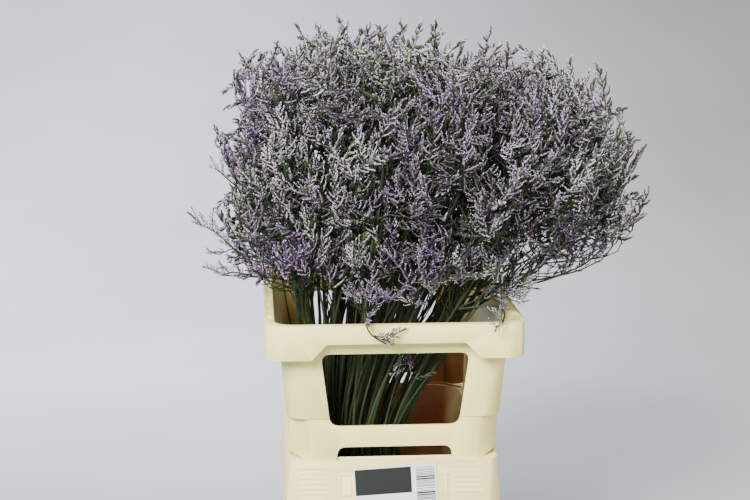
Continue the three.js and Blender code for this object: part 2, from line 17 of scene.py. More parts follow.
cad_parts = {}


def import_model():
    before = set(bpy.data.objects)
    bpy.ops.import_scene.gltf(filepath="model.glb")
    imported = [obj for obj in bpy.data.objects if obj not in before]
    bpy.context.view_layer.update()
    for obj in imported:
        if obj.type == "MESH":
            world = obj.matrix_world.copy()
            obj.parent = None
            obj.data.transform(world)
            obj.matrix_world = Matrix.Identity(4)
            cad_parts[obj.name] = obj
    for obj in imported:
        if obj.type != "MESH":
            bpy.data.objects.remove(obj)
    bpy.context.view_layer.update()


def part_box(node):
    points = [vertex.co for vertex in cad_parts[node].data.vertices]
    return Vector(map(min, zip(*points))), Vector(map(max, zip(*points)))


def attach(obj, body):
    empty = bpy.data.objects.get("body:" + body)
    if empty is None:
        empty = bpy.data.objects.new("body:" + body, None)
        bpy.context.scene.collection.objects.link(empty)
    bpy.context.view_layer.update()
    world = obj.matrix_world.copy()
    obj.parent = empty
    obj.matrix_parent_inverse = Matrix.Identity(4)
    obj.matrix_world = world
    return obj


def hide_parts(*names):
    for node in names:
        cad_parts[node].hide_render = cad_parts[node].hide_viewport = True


LOG = logging.getLogger("statice")
MM = 0.001
BODY = "root"
SEED = 31
GOLDEN_ANGLE = math.pi * (3 - math.sqrt(5))
START_CAP = 0.6
END_CAP = 0.9
STEEP = 0.9
UP = np.array([0, 0, 1.0])
Array = np.ndarray
Random = np.random.Generator
Socket = bpy.types.NodeSocket
Colour = tuple[float, float, float, float]
Range = tuple[float, float]
Given = Socket | Colour | float


# Arrays of triangles


@dataclass
class Mesh:
    """Triangles with a few named values at each vertex, joined before Blender sees them."""

    vertices: list[Array] = field(default_factory=list)
    triangles: list[Array] = field(default_factory=list)
    slots: list[Array] = field(default_factory=list)
    values: dict[str, list[Array]] = field(default_factory=dict)
    count: int = 0

    def add(self, vertices: Array, triangles: Array, slot: int, **values: Array | float) -> None:
        """Adds triangles.

        Args:
            vertices: Their corners, in millimetres.
            triangles: Three corner numbers for each triangle.
            slot: The number of the material that they wear.
            values: A value for each vertex, or one for all of them.
        """
        self.vertices.append(vertices)
        self.triangles.append(triangles + self.count)
        self.slots.append(np.full(len(triangles), slot, np.int32))
        for name, value in values.items():
            whole = np.broadcast_to(np.asarray(value, np.float32), (len(vertices),))
            self.values.setdefault(name, []).append(whole)
        self.count += len(vertices)

    def to_object(self, name: str, materials: list[bpy.types.Material]) -> bpy.types.Object:
        """Makes the Blender object.

        Args:
            name: The piece's name.
            materials: The materials, in the order of the slot numbers.

        Returns:
            The new object, linked to the scene.
        """
        vertices = np.concatenate(self.vertices).astype(np.float32) * MM
        triangles = np.concatenate(self.triangles).astype(np.int32)
        mesh = bpy.data.meshes.new(name)
        mesh.vertices.add(len(vertices))
        mesh.vertices.foreach_set("co", vertices.ravel())
        mesh.loops.add(triangles.size)
        mesh.loops.foreach_set("vertex_index", triangles.ravel())
        mesh.polygons.add(len(triangles))
        mesh.polygons.foreach_set("loop_start", np.arange(0, triangles.size, 3, dtype=np.int32))
        mesh.polygons.foreach_set("material_index", np.concatenate(self.slots))
        for key, parts in self.values.items():
            attribute = mesh.attributes.new(key, "FLOAT", "POINT")
            attribute.data.foreach_set("value", np.concatenate(parts).astype(np.float32))
        mesh.update(calc_edges=True)
        mesh.shade_smooth()
        for material in materials:
            mesh.materials.append(material)
        return linked(name, mesh)


def linked(name: str, data: bpy.types.ID) -> bpy.types.Object:
    """Makes an object of a mesh, light or camera, and links it to the scene.

    Args:
        name: The object's name.
        data: What it shows.

    Returns:
        The object.
    """
    made = bpy.data.objects.new(name, data)
    bpy.context.scene.collection.objects.link(made)
    return made


def unit(vectors: Array) -> Array:
    """Returns vectors of length one in the same directions."""
    return vectors / np.maximum(np.linalg.norm(vectors, axis=-1, keepdims=True), 1e-9)


def bezier(points: Array, steps: int) -> Array:
    """Returns the points along the Bezier curve of three control points, in that many steps."""
    t = np.linspace(0, 1, steps + 1)[:, None]
    return (1 - t) ** 2 * points[0] + 2 * t * (1 - t) * points[1] + t**2 * points[2]


def tube(path: Array, radii: Array, sides: int) -> tuple[Array, Array]:
    """Makes a closed tube with pointed ends along a path.

    Args:
        path: The points that it follows.
        radii: Its radius at each of them.
        sides: How many sides it has.

    Returns:
        Its vertices and its triangles.
    """
    ahead = unit(np.gradient(path, axis=0))
    helper = np.array([1.0, 0, 0]) if abs(ahead[:, 0]).max() < STEEP else np.array([0, 1.0, 0])
    right = unit(np.cross(ahead, helper))
    up = np.cross(right, ahead)
    angles = np.arange(sides) * 2 * np.pi / sides
    around = right[:, None] * np.cos(angles)[:, None] + up[:, None] * np.sin(angles)[:, None]
    rings = path[:, None] + around * radii[:, None, None]
    count = len(path)
    start = path[0] - ahead[0] * radii[0] * START_CAP
    end = path[-1] + ahead[-1] * radii[-1] * END_CAP
    vertices = np.concatenate([rings.reshape(-1, 3), start[None], end[None]])
    k, s = np.meshgrid(np.arange(count - 1), np.arange(sides), indexing="ij")
    a = (k * sides + s).ravel()
    b = (k * sides + (s + 1) % sides).ravel()
    walls = np.concatenate([np.stack([a, a + sides, b], 1), np.stack([b, a + sides, b + sides], 1)])
    s = np.arange(sides)
    nearby = (s + 1) % sides
    last = (count - 1) * sides
    first_cap = np.stack([s, nearby, np.full(sides, count * sides)], 1)
    last_cap = np.stack([last + nearby, last + s, np.full(sides, count * sides + 1)], 1)
    return vertices, np.concatenate([walls, first_cap, last_cap])


# The bunch, as the construction lays it out


@dataclass(frozen=True)
class Bunch:
    """Where each stalk stands, and how far each stem's share of the bunch reaches."""

    stems: int = 36
    levels: tuple[float, ...] = (4.3, 235, 290, 400, 455, 560, 740)
    centres: tuple[float, ...] = (-30, -38, -29, 2, 18, 45, 62)
    half_x: tuple[float, ...] = (50, 54, 72, 119, 142, 190, 232)
    half_y: tuple[float, ...] = (112, 138, 146, 168, 178, 192, 202)

    def places(self) -> Array:
        """Returns each stem's place in a rounded square, from -1 to 1 both ways."""
        i = np.arange(self.stems)
        angle = i * GOLDEN_ANGLE
        c, s = np.cos(angle), np.sin(angle)
        squared = 1 / (c**4 + s**4) ** 0.25
        radius = np.sqrt((i + 0.5) / self.stems) * squared
        return np.stack([radius * c, radius * s], 1)

    def spread(self, z: Array) -> tuple[Array, Array, Array]:
        """Returns the bunch's centre, half width and half depth at some heights."""
        shapes = (self.centres, self.half_x, self.half_y)
        return tuple(np.interp(z, self.levels, shape) for shape in shapes)

    def stalk(self, stem: int, z: Array | float) -> Array:
        """Follows a stalk.

        Args:
            stem: The stem's number.
            z: The heights.

        Returns:
            The stalk's middle at each height.
        """
        z = np.asarray(z, float)
        centre, half_x, half_y = self.spread(z)
        place = self.places()[stem]
        return np.stack([centre + half_x * place[0], half_y * place[1], z], -1)

    def owners(self, points: Array) -> Array:
        """Finds which stem's share each point lies in.

        Args:
            points: The points.

        Returns:
            A stem number for each.
        """
        centre, half_x, half_y = self.spread(points[:, 2])
        place = np.stack([(points[:, 0] - centre) / half_x, points[:, 1] / half_y], 1)
        apart = np.linalg.norm(place[:, None] - self.places()[None], axis=2)
        return apart.argmin(1)


@dataclass(frozen=True)
class Outline:
    """The outside of the whole flower mass, a rounded block that is lower towards the right."""

    centre_x: float = 55
    centre_z: float = 505
    half_x: float = 255
    half_y: float = 216
    drop: float = 90
    power: float = 4.0
    top: float = 728
    top_from_x: float = -100
    top_fall: float = 0.125
    corner_from_x: float = 222
    corner_run: float = 100
    corner_fall: float = 0.7
    rise_from_x: float = 120
    rise_run: float = 200
    rise: float = 0.3
    first_reach: float = 200.0
    rounds: int = 8
    slope_step: float = 2.0

    def centre(self) -> Array:
        """Returns the point that the outline is measured from."""
        return np.array([self.centre_x, 0.0, self.centre_z])

    def level(self, points: Array) -> Array:
        """Measures how far out points lie.

        Args:
            points: The points.

        Returns:
            1 for a point on the outline, less inside it and more outside.
        """
        x, z = points[:, 0], points[:, 2]
        top = self.top - self.top_fall * np.maximum(0, x - self.top_from_x)
        top = top - self.corner_fall * np.clip(x - self.corner_from_x, 0, self.corner_run)
        drop = self.drop - self.rise * np.clip(x - self.rise_from_x, 0, self.rise_run)
        half_z = np.where(z > self.centre_z, top - self.centre_z, drop)
        halves = np.column_stack([np.full((len(points), 2), (self.half_x, self.half_y)), half_z])
        return (np.abs((points - self.centre()) / halves) ** self.power).sum(1) ** (1 / self.power)

    def project(self, ways: Array, level: float) -> Array:
        """Goes out from the centre to a level.

        Args:
            ways: Directions from the centre.
            level: The level to stop at.

        Returns:
            The points there.
        """
        reach = np.full(len(ways), self.first_reach)
        for _ in range(self.rounds):
            reach *= level / self.level(ways * reach[:, None] + self.centre())
        return ways * reach[:, None] + self.centre()

    def outward(self, points: Array) -> Array:
        """Finds the outline's direction near points.

        Args:
            points: The points.

        Returns:
            A direction of length one that leads outwards from each.
        """
        slope = np.zeros_like(points)
        for axis, shift in enumerate(np.eye(3) * self.slope_step):
            slope[:, axis] = self.level(points + shift) - self.level(points - shift)
        return unit(slope)


# Flowers


@dataclass(frozen=True)
class Floret:
    """A papery floret: a closed three-sided spindle, widest near its open end."""

    length: float = 5.8
    width: float = 2.5
    widest: float = 0.55

    def shape(self) -> tuple[Array, Array]:
        """Returns the floret's vertices, standing along +Z from the origin, and its triangles."""
        angles = np.arange(3) * 2 * np.pi / 3
        radius = self.width / 2
        height = np.full(3, self.length * self.widest)
        ring = np.stack([np.cos(angles) * radius, np.sin(angles) * radius, height], 1)
        vertices = np.concatenate([[[0, 0, 0]], ring, [[0, 0, self.length]]])
        triangles = [(0, 2, 1), (0, 3, 2), (0, 1, 3), (4, 1, 2), (4, 2, 3), (4, 3, 1)]
        return vertices, np.array(triangles)


@dataclass(frozen=True)
class Spikelet:
    """A short curved twig, closely set with florets: pale above and dark below, partly as open flower
    over calyces and partly as painted light and shade.
    """

    floret: Floret = Floret()
    florets: int = 5
    splay: float = math.radians(16)
    splay_range: Range = (0.7, 1.4)
    lift: float = math.radians(17)
    lift_range: Range = (0.6, 1.3)
    lift_fall: float = 0.5
    size_range: Range = (0.92, 1.12)
    size_fall: float = 0.32
    overhang: float = 0.7
    bend: float = math.radians(36)
    rings: int = 3
    sides: int = 3
    thickness: float = 1.45
    end_thickness: float = 0.55
    knobs: float = 0.4
    middle_bloom: float = 0.76
    bloom_and_light_each_mm: float = 0.24
    least_bloom: float = 0.1
    foot_shade: float = 0.07

    def shape(self, length: float, random: Random) -> tuple[Array, Array, Array]:
        """Builds one spikelet along +Z, curving towards +X.

        Args:
            length: Its length.
            random: Where its unevenness comes from.

        Returns:
            Its vertices, its triangles and how open the flower is at each vertex, raised on the upper
            side as painted light and lowered below as painted shade.
        """
        body, faces = self.floret.shape()
        reach = length - (self.overhang * self.floret.length if self.florets else 0)
        vertices, triangles = [], []
        for k in range(self.florets):
            along = k / (self.florets - 1)
            turn = self.bend * along
            foot = np.array([math.sin(turn / 2), 0, math.cos(turn / 2)]) * reach * along
            side = 0 if along == 1 else (-1) ** k
            lift = self.lift * random.uniform(*self.lift_range) * (1 - self.lift_fall * along)
            splay = side * self.splay * random.uniform(*self.splay_range)
            size = random.uniform(*self.size_range) * (1 - self.size_fall * along)
            turned = Matrix.Rotation(turn + lift, 3, "Y") @ Matrix.Rotation(splay, 3, "X")
            vertices.append((body * size) @ np.array(turned).T + foot)
            triangles.append(faces + len(body) * k)
        places = np.linspace(0, 1, self.rings)
        turns = places * self.bend / 2
        spots = np.stack([np.sin(turns), 0 * turns, np.cos(turns)], 1) * reach * places[:, None]
        swell = 1 + self.knobs * random.uniform(-1, 1, self.rings)
        swell[[0, -1]] = self.end_thickness
        axis, axis_faces = tube(spots, self.thickness * swell, self.sides)
        vertices.append(axis)
        triangles.append(axis_faces + len(body) * self.florets)
        whole = np.concatenate(vertices)
        # Painted light and shade: vertices above the axis get a higher bloom, so a paler colour, and
        # those below a lower one, so a darker colour.
        above = whole[:, 0] - np.interp(whole[:, 2], spots[:, 2], spots[:, 0])
        feet = np.zeros(len(whole))
        feet[: len(body) * self.florets : len(body)] = self.foot_shade
        bloom = self.middle_bloom + self.bloom_and_light_each_mm * above - feet
        return whole, np.concatenate(triangles), np.clip(bloom, self.least_bloom, 1)


@dataclass
class Spray:
    """A grown spray along +Z: its surface, and at each vertex how open the flower is, with painted
    light on the spikelets' upper sides.
    """

    vertices: Array
    triangles: Array
    bloom: Array


@dataclass(frozen=True)
class Frond:
    """How a spray grows: a small fern-like fan of spikelets along a curved axis."""

    spikelet: Spikelet
    count: int
    lengths: Range = (38, 54)
    curve: float = 14
    aside: float = 6
    steps: int = 5
    sides: int = 3
    radii: Range = (0.8, 0.45)
    swing: float = 0.4
    turn: float = 0.8
    first: float = 0.1
    span: float = 17
    span_fall: float = 4.5
    span_range: Range = (0.75, 1.25)
    lean_degrees: float = 62
    lean_fall: float = 26
    lean_range: Range = (0.6, 1.35)

    def grow(self, random: Random) -> Spray:
        """Grows one pattern of spray.

        Args:
            random: Where its unevenness comes from.

        Returns:
            The spray.
        """
        length = random.uniform(*self.lengths)
        curve = random.uniform(-self.curve, self.curve)
        aside = random.uniform(-self.aside, self.aside)
        controls = [[0, 0, 0], [-curve / 2, 0, length / 2], [curve, aside, length]]
        axis = bezier(np.array(controls), self.steps)
        knots = np.linspace(0, 1, self.steps + 1)
        spine, spine_faces = tube(axis, np.linspace(*self.radii, self.steps + 1), self.sides)
        vertices, triangles, bloom = [spine], [spine_faces], [np.zeros(len(spine))]
        total = len(spine)
        swing = random.uniform(-self.swing, self.swing)
        for k in range(self.count):
            place = self.first + (1 - self.first) * k / (self.count - 1)
            side = 0 if k == self.count - 1 else (-1) ** k
            span = (self.span - self.span_fall * place) * random.uniform(*self.span_range)
            body, faces, flower = self.spikelet.shape(span, random)
            lean = side * math.radians(self.lean_degrees - self.lean_fall * place)
            lean = lean * random.uniform(*self.lean_range)
            flip = -1 if side > 0 else 1
            turned = Matrix.Rotation(random.uniform(-self.turn, self.turn) + swing, 3, "Z")
            turned = turned @ Matrix.Rotation(lean, 3, "Y") @ Matrix.Scale(flip, 3, (1, 0, 0))
            if flip < 0:
                faces = faces[:, ::-1]
            foot = np.array([np.interp(place, knots, axis[:, i]) for i in range(3)])
            vertices.append(body @ np.array(turned).T + foot)
            triangles.append(faces + total)
            bloom.append(flower)
            total += len(body)
        return Spray(*(np.concatenate(part) for part in (vertices, triangles, bloom)))


@dataclass
class Sprays:
    """Where a number of sprays stand."""

    feet: Array
    ways: Array
    faces: Array
    tones: Array
    layers: Array
    depths: Array
    sizes: Array

    def of(self, chosen: Array) -> "Sprays":
        """Returns only the chosen ones."""
        return Sprays(*(getattr(self, part.name)[chosen] for part in fields(self)))


@dataclass(frozen=True)
class Bloom:
    """The layout of the flower mass: clumps that swell out of it, and the sprays in each."""

    outline: Outline = Outline()
    bunch: Bunch = Bunch()
    trials: int = 30000
    trial_shares: tuple[float, ...] = (1, 0.9, 0.8)
    lowest: float = -0.72
    underside: float = -0.75
    sparser_behind: float = 0.5
    behind_slope: float = 2
    behind_start: float = 0.6
    heart_level: float = 0.95
    heart_depth: float = 60
    clump: float = 60
    crown: float = 9
    slump: float = 35
    slump_slope: float = 1.6
    layers: tuple[Range, ...] = ((0.97, 20.0), (0.86, 22.0), (0.72, 25.5), (0.5, 29.0), (0.3, 36.0))
    outer_layers: int = 2
    inner_from: int = 3
    inner_size: float = 1.4
    size_range: Range = (0.85, 1.15)
    fringe: tuple[tuple[float, float, float], ...] = ((-140, -210, 428), (130, -150, 486))
    fringe_count: int = 46
    flat: float = 0.34
    from_heart: float = 0.34
    jitter: float = 0.52
    rise: float = 0.55
    rise_slope: float = 1.1
    least_rise: float = 0.2
    calm_flat: float = 0.5
    calm_jitter: float = 0.2
    face_jitter: float = 0.7
    stand_jitter: float = 5
    sprig: float = 6
    longest_sprig: float = 2.4
    sprigs_above: float = 0.3
    spray_length: float = 50
    lowest_foot: float = 412
    deepest_foot: float = 0.97
    paler_above: float = 670
    paler_right: float = 190
    pale_share: float = 0.6
    tone_jitter: float = 0.16
    clump_shade: float = 0.16
    valley_shade: float = 0.2
    layer_shade: float = 0.2
    low_shade: float = 0.26
    low_from: float = 540
    low_run: float = 120

    def spread(self, level: float, spacing: float, random: Random) -> Array:
        """Spreads points evenly over the mass.

        Args:
            level: How far out they lie.
            spacing: How far apart they are, at least.
            random: Where their places come from.

        Returns:
            The points.
        """
        ways = unit(random.normal(size=(self.trials, 3)) * self.trial_shares)
        ways = ways[ways[:, 2] > self.lowest]
        points = self.outline.project(ways, level)
        seen = self.outline.outward(points)[:, 2] > self.underside
        points, ways = points[seen], ways[seen]
        widest = spacing * (1 + self.sparser_behind)
        behind = np.clip(self.behind_slope * ways[:, 1] - self.behind_start, 0, 1)
        gaps = spacing * (1 + self.sparser_behind * behind)
        cells: dict[tuple[int, ...], list[Array]] = {}
        chosen = []
        near = [(i, j, k) for i in (-1, 0, 1) for j in (-1, 0, 1) for k in (-1, 0, 1)]
        for point, gap, cell in zip(points, gaps, np.floor(points / widest).astype(int)):
            around = (cells.get((cell[0] + i, cell[1] + j, cell[2] + k), ()) for i, j, k in near)
            if all(np.sum((point - other) ** 2) > gap**2 for others in around for other in others):
                cells.setdefault(tuple(cell), []).append(point)
                chosen.append(point)
        return np.array(chosen)

    def directions(self, tips: Array, outward: Array, hearts: Array, random: Random) -> Array:
        """Points each spray outwards, upwards and away from the middle of its clump.

        Args:
            tips: Where the sprays end.
            outward: The mass's outward direction at each.
            hearts: The middle of each one's clump.
            random: Where their unevenness comes from.

        Returns:
            A direction for each.
        """
        jitter = random.normal(size=tips.shape)
        flat = outward * [1, 1, 0] + UP * np.maximum(outward[:, 2:], 0)
        rise = self.rise * np.clip(1 + self.rise_slope * outward[:, 2:], self.least_rise, 1)
        calm = self.calm_flat * flat + rise * UP + self.calm_jitter * jitter
        apart = self.from_heart * unit(tips - hearts)
        ways = unit(self.flat * flat + rise * UP + apart + self.jitter * jitter)
        astray = self.outline.level(tips - ways * self.spray_length) > self.deepest_foot
        ways[astray] = unit(calm[astray])
        return ways

    def place(self, random: Random) -> tuple[Sprays, Array, Array]:
        """Lays out the sprays.

        Args:
            random: Where their unevenness comes from.

        Returns:
            The sprays, the clump of each, and the stem of each clump.
        """
        hearts = self.spread(self.heart_level, self.clump, random)
        tips = [self.spread(level, spacing, random) for level, spacing in self.layers]
        tips[0] = np.concatenate([tips[0], random.uniform(*self.fringe, (self.fringe_count, 3))])
        layers = np.concatenate([np.full(len(t), i) for i, t in enumerate(tips)])
        tips = np.concatenate(tips)
        count = len(tips)
        apart = np.linalg.norm(tips[:, None] - hearts[None], axis=2)
        clumps = apart.argmin(1)
        outward = self.outline.outward(tips)
        ways = self.directions(tips, outward, hearts[clumps], random)
        swell = self.crown - self.slump * (apart.min(1) / self.clump * self.slump_slope) ** 2
        stand = np.where(layers == 0, swell, 0) + random.normal(size=count) * self.stand_jitter
        sprigs = np.minimum(random.exponential(size=count), self.longest_sprig)
        sprigs = sprigs * (outward[:, 2] > self.sprigs_above)
        stand = stand + np.where(layers == 0, self.sprig * sprigs, 0)
        feet = tips + outward * stand[:, None] - ways * self.spray_length
        rooted = (self.outline.level(feet) < 1) & (feet[:, 2] > self.lowest_foot)
        faces = unit(outward + self.face_jitter * random.normal(size=tips.shape))
        pale = (hearts[:, 2] > self.paler_above) | (hearts[:, 0] > self.paler_right)
        kinds = random.uniform(size=len(hearts)) * np.where(pale, self.pale_share, 1.0)
        tones = np.clip(kinds[clumps] + random.normal(size=count) * self.tone_jitter, 0, 1)
        sizes = random.uniform(*self.size_range, count)
        sizes = sizes * np.where(layers >= self.inner_from, self.inner_size, 1)
        # Depths darken sprays toward the inside colour: painted shade for deeper layers, sprays sunk
        # in valleys and lower ones, and a random darkening for each clump.
        shades = random.uniform(0, self.clump_shade, len(hearts))
        sunk = self.valley_shade * np.clip(-swell / self.slump, 0, 1)
        low = self.low_shade * np.clip((self.low_from - tips[:, 2]) / self.low_run, 0, 1)
        outer = np.where(layers < self.outer_layers, shades[clumps] + sunk, 0)
        depths = np.clip(self.layer_shade * layers + outer + low, 0, 1)
        inner = hearts - self.outline.outward(hearts) * self.heart_depth
        owners = self.bunch.owners(inner)
        sprays = Sprays(feet, ways, faces, tones, layers, depths, sizes)
        return sprays.of(rooted), clumps[rooted], owners


class Slot(Enum):
    """The two finishes on a stem, by their material number."""

    GREEN = 0
    FLOWER = 1


@dataclass(frozen=True)
class Stray:
    """A thin branch that leaves the mass, with small sprays along its upper side."""

    points: tuple[tuple[float, float, float], ...]
    sprays: int
    size: float = 0.62
    tones: Range = (0.3, 1.0)
    samples: int = 25
    smoothings: int = 6

    def path(self, start: Array) -> Array:
        """Follows the branch.

        Args:
            start: Where it leaves its stalk.

        Returns:
            The points along it.
        """
        knots = np.concatenate([start[None], np.array(self.points)])
        steps = np.linspace(0, len(knots) - 1, self.samples)
        smooth = np.stack([np.interp(steps, np.arange(len(knots)), knots[:, i]) for i in range(3)], 1)
        for _ in range(self.smoothings):
            smooth[1:-1] = (smooth[:-2] + 2 * smooth[1:-1] + smooth[2:]) / 4
        return smooth


STRAYS = (
    Stray(((-160, -70, 440), (-190, -76, 470), (-208, -78, 488), (-227, -80, 497)), 10, 0.45),
    Stray(((-160, -50, 452), (-184, -54, 463), (-204, -56, 455)), 5, 0.4),
    Stray(((-158, -40, 424), (-186, -48, 432), (-202, -50, 428)), 6, 0.5),
    Stray(((-160, 30, 410), (-182, 26, 412), (-204, 24, 414)), 4, 0.5),
    Stray(((-36, -193, 414), (-37, -211, 402), (-31, -214, 389), (-14, -215, 379)), 7, 0.58, (0.5, 1)),
    Stray(((118, -176, 414), (124, -202, 409), (118, -214, 398)), 6, 0.5, (0, 0.4)),
    Stray(((96, -150, 414), (122, -168, 422), (146, -178, 416)), 7, 0.7, (0, 0.4)),
    Stray(((104, -110, 412), (130, -126, 420), (150, -140, 422)), 7, 0.75, (0, 0.5)),
    Stray(((-54, -150, 414), (-52, -176, 424), (-46, -190, 420)), 6, 0.6),
    Stray(((-34, -156, 414), (-28, -180, 422), (-24, -190, 414)), 6, 0.6),
    Stray(((-10, -156, 414), (-6, -182, 424), (-8, -192, 419)), 6, 0.6),
    Stray(((14, -154, 414), (18, -178, 420), (24, -190, 415)), 6, 0.55),
    Stray(((40, -150, 414), (44, -176, 426), (42, -190, 430)), 6, 0.6),
    Stray(((8, -118, 382), (16, -136, 350), (22, -146, 322)), 7, 0.6, (0, 0.2)),
    Stray(((180, -60, 418), (232, -66, 430), (262, -70, 446)), 6),
    Stray(((186, 40, 426), (240, 44, 440), (276, 46, 462)), 6),
    Stray(((176, -130, 430), (226, -140, 452), (252, -146, 478)), 6),
    Stray(((-150, -40, 596), (-166, -44, 626), (-174, -46, 644)), 5, 0.55),
    Stray(((-168, -60, 528), (-190, -64, 546), (-204, -66, 560)), 5, 0.5),
)


@dataclass(frozen=True)
class Shoot:
    """The form of a branch or twig: its sides, its steps, and its radii at root and tip."""

    sides: int
    steps: int
    radii: Range


@dataclass(frozen=True)
class StaticeStem:
    """One stem: a stalk, its branches, the twigs on them, and a spray at the end of each twig.

    The patterns are the kinds of spray, from the outside of the mass inwards.
    """

    number: int
    bunch: Bunch
    patterns: list[list[Spray]]
    random: Random
    mesh: Mesh = field(default_factory=Mesh)
    foot_gap: float = 0.6
    stalk_steps: int = 30
    stalk_sides: int = 7
    stalk_levels: tuple[float, ...] = (0, 450, 720)
    stalk_radii: tuple[float, ...] = (2.3, 1.84, 1.1)
    stalk_waves: float = 1.6
    companions: int = 5
    companion_waves: float = 2.6
    companion_radii: Range = (0.4, 0.95)
    companion_tops: Range = (430, 520)
    part_from: float = 150
    part_run: float = 300
    scatter: tuple = ((0.2,), (0.16,))
    edge: float = 0.96
    front_edge: float = 1.1
    wave_lengths: Range = (30, 62)
    calm_run: float = 60
    shoots: int = 22
    shoot_reach: Range = (45, 95)
    shoot_bend: Range = (0.2, 0.5)
    shoot_ends: Range = (0.3, 0.6)
    shoot: Shoot = Shoot(3, 4, (1.3, 0.6))
    shoot_top: float = 30
    shoot_run: float = 110
    twig: Shoot = Shoot(3, 4, (0.8, 0.65))
    twig_reach: float = 60
    twig_bend: float = 0.4
    twig_over: float = 2
    twig_roots: int = 4
    branch: Shoot = Shoot(5, 9, (1.4, 0.8))
    branch_drop: float = 45
    branch_fall: float = 0.9
    branch_share: float = 0.15
    branch_short: float = 8
    branch_bow: float = 0.12
    branch_sag: float = 0.06
    stray_radii: Range = (1.5, 0.7)
    stray_lowest: float = 404.0
    stray_fall: float = 0.5
    stray_first: float = 0.42
    stray_sizes: Range = (0.7, 1.1)
    stray_tone: float = 0.5
    stray_ahead: float = 0.7
    stray_lift: Range = (0.5, 1.0)
    stray_jitter: float = 0.3
    stray_facing: tuple[float, float, float] = (0, -1.0, 0.2)
    facing_jitter: float = 0.4

    @property
    def node(self) -> str:
        """The construction's name for this stem."""
        return f"statice_stem_{self.number + 1:02d}"

    def add_green(self, path: Array, radii: Array, sides: int, tone: float) -> None:
        """Adds a green stalk, branch or twig.

        Args:
            path: The points that it follows.
            radii: Its radius at each.
            sides: How many sides it has.
            tone: How light its green is, from 0 to 1.
        """
        vertices, triangles = tube(path, radii, sides)
        self.mesh.add(vertices, triangles, Slot.GREEN.value, tone=tone, bloom=0, depth=0)

    def add_shoot(self, shoot: Shoot, controls: list[Array], tone: float) -> Array:
        """Adds a shoot along a Bezier curve.

        Args:
            shoot: Its form.
            controls: The curve's control points.
            tone: How light its green is, from 0 to 1.

        Returns:
            The points along it.
        """
        path = bezier(np.array(controls), shoot.steps)
        self.add_green(path, np.linspace(*shoot.radii, shoot.steps + 1), shoot.sides, tone)
        return path

    def stalk(self, top: float) -> None:
        """Adds the stalk, and thinner ones beside it.

        Args:
            top: The height where the stalk ends.
        """
        random = self.random
        z = np.linspace(self.bunch.levels[0] + self.foot_gap, top, self.stalk_steps)
        path = self.bunch.stalk(self.number, z)
        radii = np.interp(z, self.stalk_levels, self.stalk_radii)
        course = path + self.waves(z, self.stalk_waves)
        self.add_green(course, radii, self.stalk_sides, random.uniform())
        _, half_x, half_y = self.bunch.spread(z)
        place = self.bunch.places()[self.number]
        share = np.clip((z - self.part_from) / self.part_run, 0, 1)[:, None]
        for _ in range(self.companions):
            low, high = random.normal(size=(2, 2)) * self.scatter
            low = np.clip(place + low, -self.edge, self.edge) - place
            high = np.clip(place + high, (-self.front_edge, -self.edge), self.edge) - place
            shift = low * (1 - share) + high * share
            apart = np.stack([half_x * shift[:, 0], half_y * shift[:, 1], np.zeros(len(z))], 1)
            thin = radii * random.uniform(*self.companion_radii)
            reached = z < random.uniform(*self.companion_tops)
            course = path + apart + self.waves(z, self.companion_waves)
            self.add_green(course[reached], thin[reached], self.branch.sides, random.uniform())

    def waves(self, z: Array, height: float) -> Array:
        """Makes a stalk slightly wavy, and straight at its foot.

        Args:
            z: The heights along it.
            height: How far it strays, in millimetres.

        Returns:
            How far it is aside at each height.
        """
        phases = self.random.uniform(0, 2 * np.pi, 2)
        lengths = self.random.uniform(*self.wave_lengths, 2)
        aside = height * np.sin(z[:, None] / lengths + phases)
        calm = np.clip((z - self.bunch.levels[0]) / self.calm_run, 0, 1)[:, None]
        return np.concatenate([aside * calm, np.zeros((len(z), 1))], 1)

    def side_shoots(self, top: float, lowest: float) -> None:
        """Adds the thin bare shoots that fill the inside of the mass.

        Args:
            top: The height where the stalk ends.
            lowest: The lowest height where a shoot may leave it.
        """
        random = self.random
        for root_z in random.uniform(lowest, top - self.shoot_top, self.shoots):
            root = self.bunch.stalk(self.number, root_z)
            angle = random.uniform(0, 2 * np.pi)
            aside = np.array([math.cos(angle), math.sin(angle), 0])
            room = min(1.0, (top + self.shoot_top - root_z) / self.shoot_run)
            reach = random.uniform(*self.shoot_reach) * room
            bend = root + aside * reach * self.shoot_bend[0] + [0, 0, reach * self.shoot_bend[1]]
            end = root + aside * reach * random.uniform(*self.shoot_ends) + [0, 0, reach]
            self.add_shoot(self.shoot, [root, bend, end], random.uniform())

    def clump(self, sprays: Sprays, lowest: float) -> None:
        """Adds a branch from the stalk, and a twig from it to each spray of a clump.

        Args:
            sprays: The clump's sprays.
            lowest: The lowest height where a branch may leave the stalk.
        """
        middle = sprays.feet.mean(0)
        near = self.bunch.stalk(self.number, middle[2])
        aside = np.linalg.norm(middle[:2] - near[:2])
        root_z = max(lowest, middle[2] - self.branch_drop - self.branch_fall * aside)
        root = self.bunch.stalk(self.number, root_z)
        share = self.branch_share
        end = middle * (1 - share) + near * share - [0, 0, self.branch_short]
        bow = (middle - near) * self.branch_bow
        bend = (root + end) / 2 + bow - [0, 0, self.branch_sag * aside]
        tone = self.random.uniform()
        path = self.add_shoot(self.branch, [root, bend, end], tone)
        for k, (foot, way) in enumerate(zip(sprays.feet, sprays.ways)):
            start = path[-1 - k % self.twig_roots]
            reach = min(np.linalg.norm(foot - start), self.twig_reach)
            bend = foot - way * reach * self.twig_bend
            self.add_shoot(self.twig, [start, bend, foot + way * self.twig_over], tone)

